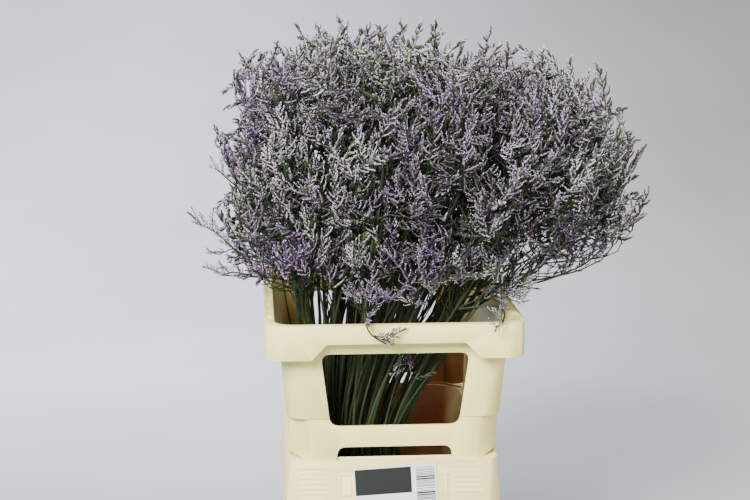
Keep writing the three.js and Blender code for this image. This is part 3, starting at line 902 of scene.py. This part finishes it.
    def flower(self, sprays: Sprays) -> None:
        """Adds the sprays.

        Args:
            sprays: Where each stands.
        """
        for i, foot in enumerate(sprays.feet):
            kinds = self.patterns[min(sprays.layers[i], len(self.patterns) - 1)]
            pattern = kinds[self.random.integers(len(kinds))]
            way = sprays.ways[i]
            side = unit(np.cross(way, sprays.faces[i]))
            frame = np.stack([side, np.cross(way, side), way])
            self.mesh.add(
                (pattern.vertices * sprays.sizes[i]) @ frame + foot,
                pattern.triangles,
                Slot.FLOWER.value,
                tone=float(sprays.tones[i]),
                bloom=pattern.bloom,
                depth=float(sprays.depths[i]),
            )

    def stray(self, stray: Stray) -> None:
        """Adds a branch that leaves the mass.

        Args:
            stray: Its course.
        """
        random = self.random
        first = stray.points[0]
        near = self.bunch.stalk(self.number, first[2])
        aside = np.linalg.norm(np.array(first[:2]) - near[:2])
        root_z = max(self.stray_lowest, first[2] - self.stray_fall * aside)
        path = stray.path(self.bunch.stalk(self.number, root_z))
        radii = np.linspace(*self.stray_radii, len(path))
        self.add_green(path, radii, self.branch.sides, self.stray_tone)
        places = np.linspace(self.stray_first, 1, stray.sprays) * (len(path) - 1)
        feet = np.stack([np.interp(places, np.arange(len(path)), path[:, i]) for i in range(3)], 1)
        ahead = unit(np.gradient(path, axis=0))[places.astype(int)]
        count = len(feet)
        ways = ahead * self.stray_ahead + UP * random.uniform(*self.stray_lift, (count, 1))
        ways = unit(ways + self.stray_jitter * random.normal(size=(count, 3)))
        faces = unit(self.stray_facing + self.facing_jitter * random.normal(size=(count, 3)))
        sizes = stray.size * random.uniform(*self.stray_sizes, count)
        tones = random.uniform(*stray.tones, count)
        none = np.zeros(count, int)
        self.flower(Sprays(feet, ways, faces, tones, none, none, sizes))


# Finishes


def colour(red: float, green: float, blue: float) -> Colour:
    """Turns a display colour, 0 to 255, into the linear colour that a shader takes.

    Args:
        red: Its red.
        green: Its green.
        blue: Its blue.

    Returns:
        The linear colour, opaque.
    """
    parts = [c / 255 for c in (red, green, blue)]
    linear = [c / 12.92 if c <= 0.04045 else ((c + 0.055) / 1.055) ** 2.4 for c in parts]
    return (linear[0], linear[1], linear[2], 1.0)


def grey(level: float) -> Colour:
    """Returns an opaque grey of a linear level."""
    return (level, level, level, 1)


class Nodes:
    """A material's node tree, with short ways to add what the finishes need."""

    def __init__(self, name: str) -> None:
        """Starts a material.

        Args:
            name: Its name.
        """
        self.material = bpy.data.materials.new(name)
        self.material.use_nodes = True
        self.tree = self.material.node_tree
        self.shader = self.tree.nodes["Principled BSDF"]

    def add(self, kind: str, **settings: object) -> bpy.types.Node:
        """Adds a node.

        Args:
            kind: Its type.
            settings: Its own settings.

        Returns:
            The node.
        """
        node = self.tree.nodes.new(kind)
        for key, value in settings.items():
            setattr(node, key, value)
        return node

    def feed(self, given: Given, target: Socket) -> None:
        """Joins a socket to another one, or sets a value on it."""
        if isinstance(given, Socket):
            self.tree.links.new(given, target)
        else:
            target.default_value = given

    def paint(self, given: Socket) -> None:
        """Gives the shader its colour."""
        self.feed(given, self.shader.inputs["Base Color"])

    def value(self, name: str) -> Socket:
        """Returns the socket of a value stored at the vertices."""
        return self.add("ShaderNodeAttribute", attribute_name=name).outputs["Fac"]

    def place(self) -> bpy.types.NodeOutputs:
        """Returns the place in the object's own frame, in metres, as its X, Y and Z sockets."""
        parts = self.add("ShaderNodeSeparateXYZ")
        self.feed(self.add("ShaderNodeTexCoord").outputs["Object"], parts.inputs[0])
        return parts.outputs

    def noise(self, scale: float, detail: float = 3.0, rough: float = 0.55) -> Socket:
        """Adds noise in the object's own frame.

        Args:
            scale: How fine it is, in patches for each metre.
            detail: How many finer layers it has.
            rough: How strong those are.

        Returns:
            Its value's socket.
        """
        node = self.add("ShaderNodeTexNoise")
        self.feed(self.add("ShaderNodeTexCoord").outputs["Object"], node.inputs["Vector"])
        self.feed(scale, node.inputs["Scale"])
        self.feed(detail, node.inputs["Detail"])
        self.feed(rough, node.inputs["Roughness"])
        return node.outputs["Fac"]

    def ramp(self, source: Socket, stops: list[tuple[float, Colour]]) -> Socket:
        """Turns a value into a colour.

        Args:
            source: The value.
            stops: Each stop's place and colour.

        Returns:
            The colour's socket.
        """
        node = self.add("ShaderNodeValToRGB")
        elements = node.color_ramp.elements
        while len(elements) < len(stops):
            elements.new(0.5)
        for element, (place, tint) in zip(elements, stops):
            element.position = place
            element.color = tint
        self.feed(source, node.inputs["Fac"])
        return node.outputs["Color"]

    def mask(self, source: Socket, low: float, high: float, most: float = 1.0) -> Socket:
        """Returns a share that rises with a value from nothing at the low one."""
        return self.ramp(source, [(low, grey(0)), (high, grey(most))])

    def mix(self, share: Given, first: Given, second: Given, blend: str = "MIX") -> Socket:
        """Mixes two colours.

        Args:
            share: How much of the second.
            first: The first colour, or its socket.
            second: The second colour, or its socket.
            blend: How they mix.

        Returns:
            The result's socket.
        """
        node = self.add("ShaderNodeMix", data_type="RGBA", blend_type=blend)
        for number, given in ((0, share), (6, first), (7, second)):
            self.feed(given, node.inputs[number])
        return node.outputs[2]

    def math(self, how: str, *given: Given, clamp: bool = False) -> Socket:
        """Reckons with values.

        Args:
            how: The operation.
            given: One to three values, or their sockets.
            clamp: Whether the result stays from 0 to 1.

        Returns:
            The result's socket.
        """
        node = self.add("ShaderNodeMath", operation=how, use_clamp=clamp)
        for socket, value in zip(node.inputs, given):
            self.feed(value, socket)
        return node.outputs[0]

    def roughen(self, scale: float, spread: float, least: float, detail: float = 3.0) -> None:
        """Gives the shader an uneven roughness, from the least up."""
        rough = self.math("MULTIPLY_ADD", self.noise(scale, detail), spread, least)
        self.feed(rough, self.shader.inputs["Roughness"])

    def bump(self, height: Socket, strength: float, distance: float) -> None:
        """Raises the surface by a height.

        Args:
            height: The height's socket.
            strength: How strong the relief is.
            distance: How high it is, in metres.
        """
        node = self.add("ShaderNodeBump")
        self.feed(strength, node.inputs["Strength"])
        self.feed(distance, node.inputs["Distance"])
        self.feed(height, node.inputs["Height"])
        self.feed(node.outputs["Normal"], self.shader.inputs["Normal"])

    def set(self, **values: float | tuple) -> None:
        """Sets the shader's own sockets, an underscore standing for a space."""
        for key, value in values.items():
            self.feed(value, self.shader.inputs[key.replace("_", " ")])


@dataclass(frozen=True)
class Speckle:
    """Patches of a second colour, where noise rises between two values."""

    scale: float
    detail: float
    low: float
    high: float
    most: float = 1.0
    rough: float = 0.55

    def share(self, n: Nodes) -> Socket:
        """Returns the patches' share, as a socket of the given material."""
        return n.mask(n.noise(self.scale, self.detail, self.rough), self.low, self.high, self.most)


@dataclass(frozen=True)
class FlowerFinish:
    """Papery florets, from greyish white through lilac to a greener kind, dark at the foot, with
    painted highlights on their upper edges and painted shade deep in the mass.
    """

    name: str = "papery_floret"
    white: Colour = colour(219, 216, 224)
    lilac: Colour = colour(150, 118, 162)
    violet: Colour = colour(120, 78, 154)
    pale_green: Colour = colour(156, 172, 138)
    dusk: Colour = colour(58, 64, 42)
    calyx: Colour = colour(36, 42, 24)
    # The painted shade colour that deep sprays darken towards.
    inside: Colour = colour(84, 92, 70)
    drift: Speckle = Speckle(18.0, 2.0, 0.44, 0.6, 0.8)
    spots: Speckle = Speckle(150.0, 1.0, 0.56, 0.66)

    def build(self) -> bpy.types.Material:
        """Returns the material."""
        n = Nodes(self.name)
        kinds = [(0.0, self.pale_green), (0.3, self.white), (0.6, self.lilac), (1.0, self.violet)]
        petal = n.mix(self.drift.share(n), n.ramp(n.value("tone"), kinds), self.lilac)
        petal = n.mix(self.spots.share(n), petal, self.violet)
        open_and_lit = n.value("bloom")
        # Painted highlight: the highest bloom values, on the florets' upper edges, turn whiter.
        petal = n.mix(n.mask(open_and_lit, 0.88, 1.0, 0.5), petal, self.white)
        foot = n.ramp(open_and_lit, [(0.1, self.calyx), (0.62, self.dusk)])
        floret = n.mix(n.mask(open_and_lit, 0.68, 0.97), foot, petal)
        # Painted shade: the depth value darkens sprays toward the inside colour.
        n.paint(n.mix(1.0, floret, n.mix(n.value("depth"), grey(1), self.inside), "MULTIPLY"))
        n.roughen(300.0, 0.2, 0.6)
        n.set(Specular_IOR_Level=0.2)
        return n.material


@dataclass(frozen=True)
class StalkFinish:
    """Dark green ribbed skin of the stalks, branches and twigs."""

    name: str = "green_stalk"
    dark: Colour = colour(20, 31, 13)
    light: Colour = colour(50, 66, 33)

    def build(self) -> bpy.types.Material:
        """Returns the material."""
        n = Nodes(self.name)
        tone = n.ramp(n.value("tone"), [(0.0, self.dark), (1.0, self.light)])
        streak = n.ramp(n.noise(160.0, 4.0), [(0.3, self.dark), (0.75, self.light)])
        n.paint(n.mix(0.5, tone, streak))
        n.roughen(220.0, 0.25, 0.4)
        n.bump(n.noise(1400.0, 2.0), 0.4, 0.0003)
        return n.material


@dataclass(frozen=True)
class MouldedPlastic:
    """Cream moulded plastic, used and a little dirty, with painted warm brown shade on its inner
    faces.
    """

    name: str
    cream: Colour = colour(255, 245, 160)
    shade: Colour = colour(252, 239, 150)
    # The colour of the painted warm shade on the inner faces.
    inner_shade: Colour = colour(172, 92, 58)
    dirt: Colour = colour(120, 96, 66)
    dirtiest: float = 0.75
    specks: Speckle = Speckle(260.0, 5.0, 0.66, 0.71, rough=0.7)
    zones: Speckle = Speckle(11.0, 2.0, 0.5, 0.62)

    def build(self) -> bpy.types.Material:
        """Returns the material."""
        n = Nodes(self.name)
        base = n.mix(n.noise(7.0, 4.0), self.cream, self.shade)
        # Painted shade: the inner faces darken unevenly to a warm brown, as shadowed cream plastic
        # looks with light bounced inside it.
        inner_shade_share = n.math("MULTIPLY_ADD", n.noise(14.0, 5.0), 0.7, 0.5)
        inner_shade_share = n.math("MULTIPLY", n.value("inside"), inner_shade_share, clamp=True)
        base = n.mix(inner_shade_share, base, self.inner_shade)
        marks = n.math("MULTIPLY", self.specks.share(n), self.zones.share(n))
        n.paint(n.mix(n.math("MULTIPLY", marks, self.dirtiest), base, self.dirt))
        n.roughen(30.0, 0.18, 0.36, 4.0)
        n.bump(n.noise(700.0, 3.0), 0.12, 0.0004)
        n.set(Specular_IOR_Level=0.45, Subsurface_Weight=0.12, Subsurface_Scale=0.004)
        n.set(Subsurface_Radius=(1.0, 0.6, 0.25))
        return n.material


@dataclass(frozen=True)
class CardFinish:
    """White card with a plain dark block and a column of plain ruled bars.

    A box on it is its left, right, top and bottom, from the card's top left corner.
    """

    corner: Range
    turn: float
    name: str = "printed_card"
    paper: Colour = colour(240, 241, 242)
    shade: Colour = colour(226, 227, 228)
    ink: Colour = colour(22, 27, 24)
    block: tuple[float, float, float, float] = (1.5, 67.5, 1.5, 32)
    bars: tuple[float, float, float, float] = (73, 95, 1.5, 58)
    bars_each_mm: float = 0.27

    def within(self, n: Nodes, across: Socket, down: Socket, box: tuple) -> Socket:
        """Tests whether a place lies in a box on the card.

        Args:
            n: The material.
            across: Millimetres from the card's left edge.
            down: Millimetres from its top edge.
            box: The box.

        Returns:
            1 inside and 0 outside.
        """
        left, right, top, bottom = box
        beside = n.math("GREATER_THAN", across, left), n.math("LESS_THAN", across, right)
        between = n.math("GREATER_THAN", down, top), n.math("LESS_THAN", down, bottom)
        return n.math("MULTIPLY", n.math("MULTIPLY", *beside), n.math("MULTIPLY", *between))

    def build(self) -> bpy.types.Material:
        """Returns the material."""
        n = Nodes(self.name)
        place = n.place()
        x = n.math("SUBTRACT", n.math("MULTIPLY", place["X"], 1 / MM), self.corner[0])
        z = n.math("SUBTRACT", n.math("MULTIPLY", place["Z"], 1 / MM), self.corner[1])
        c, s = math.cos(self.turn), math.sin(self.turn)
        across = n.math("ADD", n.math("MULTIPLY", x, c), n.math("MULTIPLY", z, s))
        down = n.math("SUBTRACT", n.math("MULTIPLY", x, s), n.math("MULTIPLY", z, c))
        wave = n.math("ADD", n.math("MULTIPLY", down, self.bars_each_mm), n.math("SINE", down))
        bar = n.math("GREATER_THAN", n.math("FRACT", wave), 0.5)
        ruled = n.math("MULTIPLY", bar, self.within(n, across, down, self.bars))
        ink = n.math("MAXIMUM", self.within(n, across, down, self.block), ruled)
        n.paint(n.mix(ink, n.mix(n.noise(120.0, 4.0), self.paper, self.shade), self.ink))
        n.roughen(90.0, 0.2, 0.45)
        return n.material


# The holder


@dataclass(frozen=True)
class Holder:
    """The bucket and its collar, with their edges rounded as moulded plastic has them."""

    edge: float = 1.1
    edge_segments: int = 3
    sharp: float = math.radians(38)
    flat: float = math.radians(0.6)
    weld_m: float = 2e-5
    # The painted shade on the inner faces starts this far below the collar's top and deepens over the
    # run.
    inner_shade_below_m: float = 0.045
    inner_shade_run_m: float = 0.03
    least_low: float = 0.1
    end_slope: float = 1.5
    side_share: float = 0.25
    inward_slope: float = 2.0
    inward_start: float = 0.2

    def softened(self, node: str, name: str) -> bpy.types.Object:
        """Copies a moulded node with rounded edges.

        Args:
            node: The construction's node.
            name: The new piece's name.

        Returns:
            The new object, linked to the scene.
        """
        mesh = bpy.data.objects[node].data.copy()
        mesh.name = name
        work = bmesh.new()
        work.from_mesh(mesh)
        bmesh.ops.remove_doubles(work, verts=work.verts, dist=self.weld_m)
        bmesh.ops.dissolve_limit(work, angle_limit=self.flat, verts=work.verts, edges=work.edges)
        work.to_mesh(mesh)
        work.free()
        mesh.attributes.new("inside", "FLOAT", "POINT")
        made = linked(name, mesh)
        bevel = made.modifiers.new("rounding", "BEVEL")
        bevel.width = self.edge * MM
        bevel.segments = self.edge_segments
        bevel.limit_method = "ANGLE"
        bevel.angle_limit = self.sharp
        bevel.harden_normals = True
        graph = bpy.context.evaluated_depsgraph_get()
        rounded = bpy.data.meshes.new_from_object(made.evaluated_get(graph))
        made.modifiers.clear()
        made.data = rounded
        return made

    def mark_inside(self, piece: bpy.types.Object) -> None:
        """Marks the faces that look inwards, for painted warm shade: most on the inner front and back
        walls and lower down.

        Args:
            piece: The piece.
        """
        mesh = piece.data
        normals = np.zeros(len(mesh.vertices) * 3)
        mesh.vertices.foreach_get("normal", normals)
        places = np.zeros(len(mesh.vertices) * 3)
        mesh.vertices.foreach_get("co", places)
        normals, places = normals.reshape(-1, 3), places.reshape(-1, 3)
        inwards = -(normals[:, :2] * unit(places[:, :2])).sum(1)
        inwards = np.clip(inwards * self.inward_slope - self.inward_start, 0, 1)
        behind = np.clip(-normals[:, 1] * np.sign(places[:, 1]) * self.end_slope, 0, 1)
        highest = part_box("collar")[1].z - self.inner_shade_below_m
        low = np.clip((highest - places[:, 2]) / self.inner_shade_run_m, self.least_low, 1)
        values = inwards * (self.side_share + (1 - self.side_share) * behind) * low
        mesh.attributes["inside"].data.foreach_set("value", values.astype(np.float32))

    def build(self, node: str, name: str, finish: bpy.types.Material) -> bpy.types.Object:
        """Builds a moulded piece.

        Args:
            node: The construction's node.
            name: The new piece's name.
            finish: The plastic.

        Returns:
            The piece.
        """
        piece = self.softened(node, name)
        piece.data.shade_smooth()
        self.mark_inside(piece)
        piece.data.materials.clear()
        piece.data.materials.append(finish)
        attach(piece, BODY)
        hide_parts(node)
        return piece


@dataclass(frozen=True)
class PanelRelief:
    """Fine ribs beside the bucket's front panel, and the two small hooks beside the card.

    Each hook's bar is the x and z of its middle, its width and its height.
    """

    ribs: int = 6
    rib_pitch: float = 6.0
    rib_width: float = 36.0
    rib_height: float = 1.6
    rib_proud: float = 0.7
    rib_x: Range = (-95, 86)
    rib_top: float = 222.0
    hook_proud: float = 2.3
    hooks: tuple[tuple[float, float, float, float], ...] = (
        (-57.5, 214, 14, 2.2),
        (-63.4, 204, 2.2, 20),
        (-57.5, 190, 14, 2.2),
        (-51.4, 199, 2.2, 17),
        (56.5, 214, 10, 2.2),
        (60.4, 203, 2.2, 22),
    )
    sunk: float = 1.0
    edge: float = 0.35
    skirt_lean: float = math.atan2(8.0, 85.0)
    skirt_front: float = 175.0
    lip_height: float = 3.0

    def build(self, finish: bpy.types.Material) -> bpy.types.Object:
        """Builds the relief, each bar sunk into the face that it stands on.

        Args:
            finish: The plastic.

        Returns:
            The piece.
        """
        skirt_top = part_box("bucket")[1].z / MM - self.lip_height
        turned = Matrix.Rotation(-self.skirt_lean, 4, "X")
        heights = [self.rib_top - k * self.rib_pitch for k in range(self.ribs)]
        rib = (self.rib_width, self.rib_height, self.rib_proud)
        bars = [(x, z, *rib) for x in self.rib_x for z in heights]
        bars += [(*hook, self.hook_proud) for hook in self.hooks]
        work = bmesh.new()
        for x, z, width, height, proud in bars:
            face_y = -(self.skirt_front + (skirt_top - z) * math.tan(self.skirt_lean))
            middle = Vector((x, face_y - proud / 2 + self.sunk / 2, z)) * MM
            size = Matrix.Diagonal((width * MM, (proud + self.sunk) * MM, height * MM, 1))
            bmesh.ops.create_cube(work, size=1, matrix=Matrix.Translation(middle) @ turned @ size)
        edge = self.edge * MM
        bmesh.ops.bevel(work, geom=work.edges[:], offset=edge, segments=2, affect="EDGES", profile=0.5)
        mesh = bpy.data.meshes.new("panel_relief")
        work.to_mesh(mesh)
        work.free()
        mesh.attributes.new("inside", "FLOAT", "POINT")
        mesh.materials.append(finish)
        piece = linked("panel_relief", mesh)
        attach(piece, BODY)
        return piece


@dataclass(frozen=True)
class LotCard:
    """The lot card, which stays the construction's own piece and gets its finish."""

    node: str = "lot_card"
    side_width: float = 4

    def top_corner(self, corners: Array, side_x: float) -> Array:
        """Returns the highest of the corners near one side of the card."""
        near = corners[np.abs(corners[:, 0] - side_x) < self.side_width]
        return near[near[:, 2].argmax()]

    def dress(self) -> None:
        """Gives the card its finish, set out from the card's own corner."""
        card = bpy.data.objects[self.node]
        corners = np.array([v.co for v in card.data.vertices]) / MM
        left = self.top_corner(corners, corners[:, 0].min())
        right = self.top_corner(corners, corners[:, 0].max())
        turn = math.atan2(right[2] - left[2], right[0] - left[0])
        card.data.materials.clear()
        card.data.materials.append(CardFinish((left[0], left[2]), turn).build())


# The stems together


@dataclass(frozen=True)
class Statice:
    """All the stems, with the flower mass shared out among them."""

    bloom: Bloom = Bloom()
    kinds: tuple[Frond, ...] = (
        Frond(Spikelet(), 12),
        Frond(Spikelet(florets=4), 11),
        Frond(Spikelet(florets=0, rings=4, thickness=1.9), 10),
    )
    patterns: int = 12
    stalk_level: float = 0.8
    stalk_step: float = 4
    shoots_from: float = -12
    branches_from: float = -20

    def stalk_top(self, number: int) -> float:
        """Finds where a stalk ends, a little inside the mass.

        Args:
            number: The stem's number.

        Returns:
            The height.
        """
        outline, bunch = self.bloom.outline, self.bloom.bunch
        top = outline.centre_z
        while outline.level(bunch.stalk(number, top)[None])[0] < self.stalk_level:
            top += self.stalk_step
        return top

    def build(self, random: Random) -> None:
        """Builds every stem and reports it.

        Args:
            random: Where their unevenness comes from.
        """
        patterns = [[kind.grow(random) for _ in range(self.patterns)] for kind in self.kinds]
        materials = [StalkFinish().build(), FlowerFinish().build()]
        sprays, clumps, owners = self.bloom.place(random)
        rim_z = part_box("collar")[1].z / MM
        total = 0
        for number in range(self.bloom.bunch.stems):
            stem = StaticeStem(number, self.bloom.bunch, patterns, random)
            top = self.stalk_top(number)
            stem.stalk(top)
            stem.side_shoots(top, rim_z + self.shoots_from)
            for clump in np.flatnonzero(owners == number):
                own = sprays.of(np.flatnonzero(clumps == clump))
                if len(own.feet):
                    stem.clump(own, rim_z + self.branches_from)
                    stem.flower(own)
            for stray in STRAYS:
                if self.bloom.bunch.owners(np.array(stray.points[:1]))[0] == number:
                    stem.stray(stray)
            piece = stem.mesh.to_object(f"statice_{number + 1:02d}", materials)
            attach(piece, BODY)
            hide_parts(stem.node)
            total += len(piece.data.polygons)
            LOG.info("%s: %d triangles", piece.name, len(piece.data.polygons))
        LOG.info("statice: %d sprays, %d clumps, %d triangles", len(sprays.feet), len(owners), total)


# The studio


@dataclass(frozen=True)
class Lamp:
    """A soft light: its place and aim in metres, its width in metres and its power in watts."""

    name: str
    place: tuple[float, float, float]
    aim: tuple[float, float, float]
    width: float
    power: float
    tint: tuple[float, float, float]

    def build(self) -> None:
        """Adds the light."""
        data = bpy.data.lights.new(self.name, "AREA")
        data.size = self.width
        data.energy = self.power
        data.color = self.tint
        made = linked(self.name, data)
        made.location = self.place
        ahead = Vector(self.aim) - Vector(self.place)
        made.rotation_euler = ahead.to_track_quat("-Z", "Y").to_euler()


@dataclass(frozen=True)
class Studio:
    """A pale floor and backdrop, soft lights, and the camera where the photograph was taken."""

    lens: float = 81.6
    camera_place: tuple[float, float, float] = (-156, -2079, 824.8)
    yaw: float = math.radians(3.99)
    pitch: float = math.radians(10.25)
    farthest_m: float = 50
    floor_front_m: float = -4.0
    floor_back_m: float = 1.2
    curve_m: float = 6.0
    curve_steps: int = 24
    half_width_m: float = 6.0
    paper_high: Colour = colour(240, 244, 255)
    paper_low: Colour = colour(117, 120, 124)
    paper_right: Colour = colour(202, 199, 197)
    air: Colour = (0.86, 0.88, 0.94, 1)
    air_strength: float = 0.4
    lamps: tuple[Lamp, ...] = (
        Lamp("key", (-1.4, -2.6, 2.3), (0.05, 0, 0.4), 1.4, 340, (1, 0.985, 0.95)),
        Lamp("fill", (2.2, -2.4, 1.0), (0.05, 0, 0.35), 2.0, 34, (1, 0.98, 0.95)),
        Lamp("top", (0.1, -0.3, 2.8), (0.1, 0, 0.5), 1.2, 60, (1, 0.99, 0.98)),
        Lamp("back_wash", (-2.2, 0.9, 2.6), (-1.0, 4.6, 0.9), 1.8, 155, (0.95, 0.97, 1)),
    )

    def camera(self) -> None:
        """Adds the camera and makes it the scene's."""
        data = bpy.data.cameras.new("camera")
        data.lens = self.lens
        data.clip_end = self.farthest_m
        made = linked("camera", data)
        made.location = [c * MM for c in self.camera_place]
        pitched = Matrix.Rotation(math.pi / 2 - self.pitch, 4, "X")
        made.rotation_euler = (Matrix.Rotation(-self.yaw, 4, "Z") @ pitched).to_euler()
        bpy.context.scene.camera = made

    def paper(self) -> bpy.types.Material:
        """Returns the floor's material, with painted shade: darker towards the front, warmer and
        greyer at the right, mottled darker in broad patches, paler towards the back.
        """
        n = Nodes("pale_backdrop")
        place = n.place()
        # Painted shade: the floor darkens towards the front and the right, and in broad patches.
        upper = n.mask(n.math("MULTIPLY_ADD", place["Y"], 0.192, 0.5), 0.42, 0.72)
        side = n.mask(n.math("MULTIPLY_ADD", place["X"], 0.5, 0.35), 0.3, 0.9)
        paper = n.mix(side, n.mix(upper, self.paper_low, self.paper_high), self.paper_right)
        n.paint(n.mix(n.noise(0.8), paper, n.mix(0.5, paper, self.paper_low)))
        n.set(Roughness=0.9, Specular_IOR_Level=0.1)
        return n.material

    def surface(self) -> None:
        """Adds the floor, which curves up into the backdrop."""
        profile = [(self.floor_front_m, 0.0)]
        for k in range(self.curve_steps + 1):
            angle = k / self.curve_steps * math.pi / 2
            back = self.floor_back_m + self.curve_m * math.sin(angle)
            profile.append((back, self.curve_m * (1 - math.cos(angle))))
        half = self.half_width_m
        vertices = [(x, y, z) for y, z in profile for x in (-half, half)]
        faces = [(2 * i, 2 * i + 1, 2 * i + 3, 2 * i + 2) for i in range(len(profile) - 1)]
        mesh = bpy.data.meshes.new("backdrop")
        mesh.from_pydata(vertices, [], faces)
        mesh.shade_smooth()
        mesh.materials.append(self.paper())
        linked("backdrop", mesh)

    def build(self) -> None:
        """Builds the studio."""
        self.camera()
        self.surface()
        for lamp in self.lamps:
            lamp.build()
        world = bpy.data.worlds.new("studio_air")
        world.use_nodes = True
        sky = world.node_tree.nodes["Background"]
        sky.inputs["Color"].default_value = self.air
        sky.inputs["Strength"].default_value = self.air_strength
        bpy.context.scene.world = world


def main() -> None:
    """Builds the model in order and reports each piece."""
    logging.basicConfig(level=logging.INFO, format="%(name)s: %(message)s")
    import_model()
    random = np.random.default_rng(SEED)
    Studio().build()
    holder = Holder()
    warm = MouldedPlastic("warm_cream_moulding", colour(255, 241, 172), colour(253, 236, 160)).build()
    cream = MouldedPlastic("cream_moulding").build()
    for node, name, finish in (("bucket", "bucket_shell", warm), ("collar", "collar_shell", cream)):
        piece = holder.build(node, name, finish)
        LOG.info("%s: %d faces", piece.name, len(piece.data.polygons))
    relief = PanelRelief().build(warm)
    LOG.info("%s: %d faces", relief.name, len(relief.data.polygons))
    LotCard().dress()
    Statice().build(random)


if __name__ == "__main__":
    main()
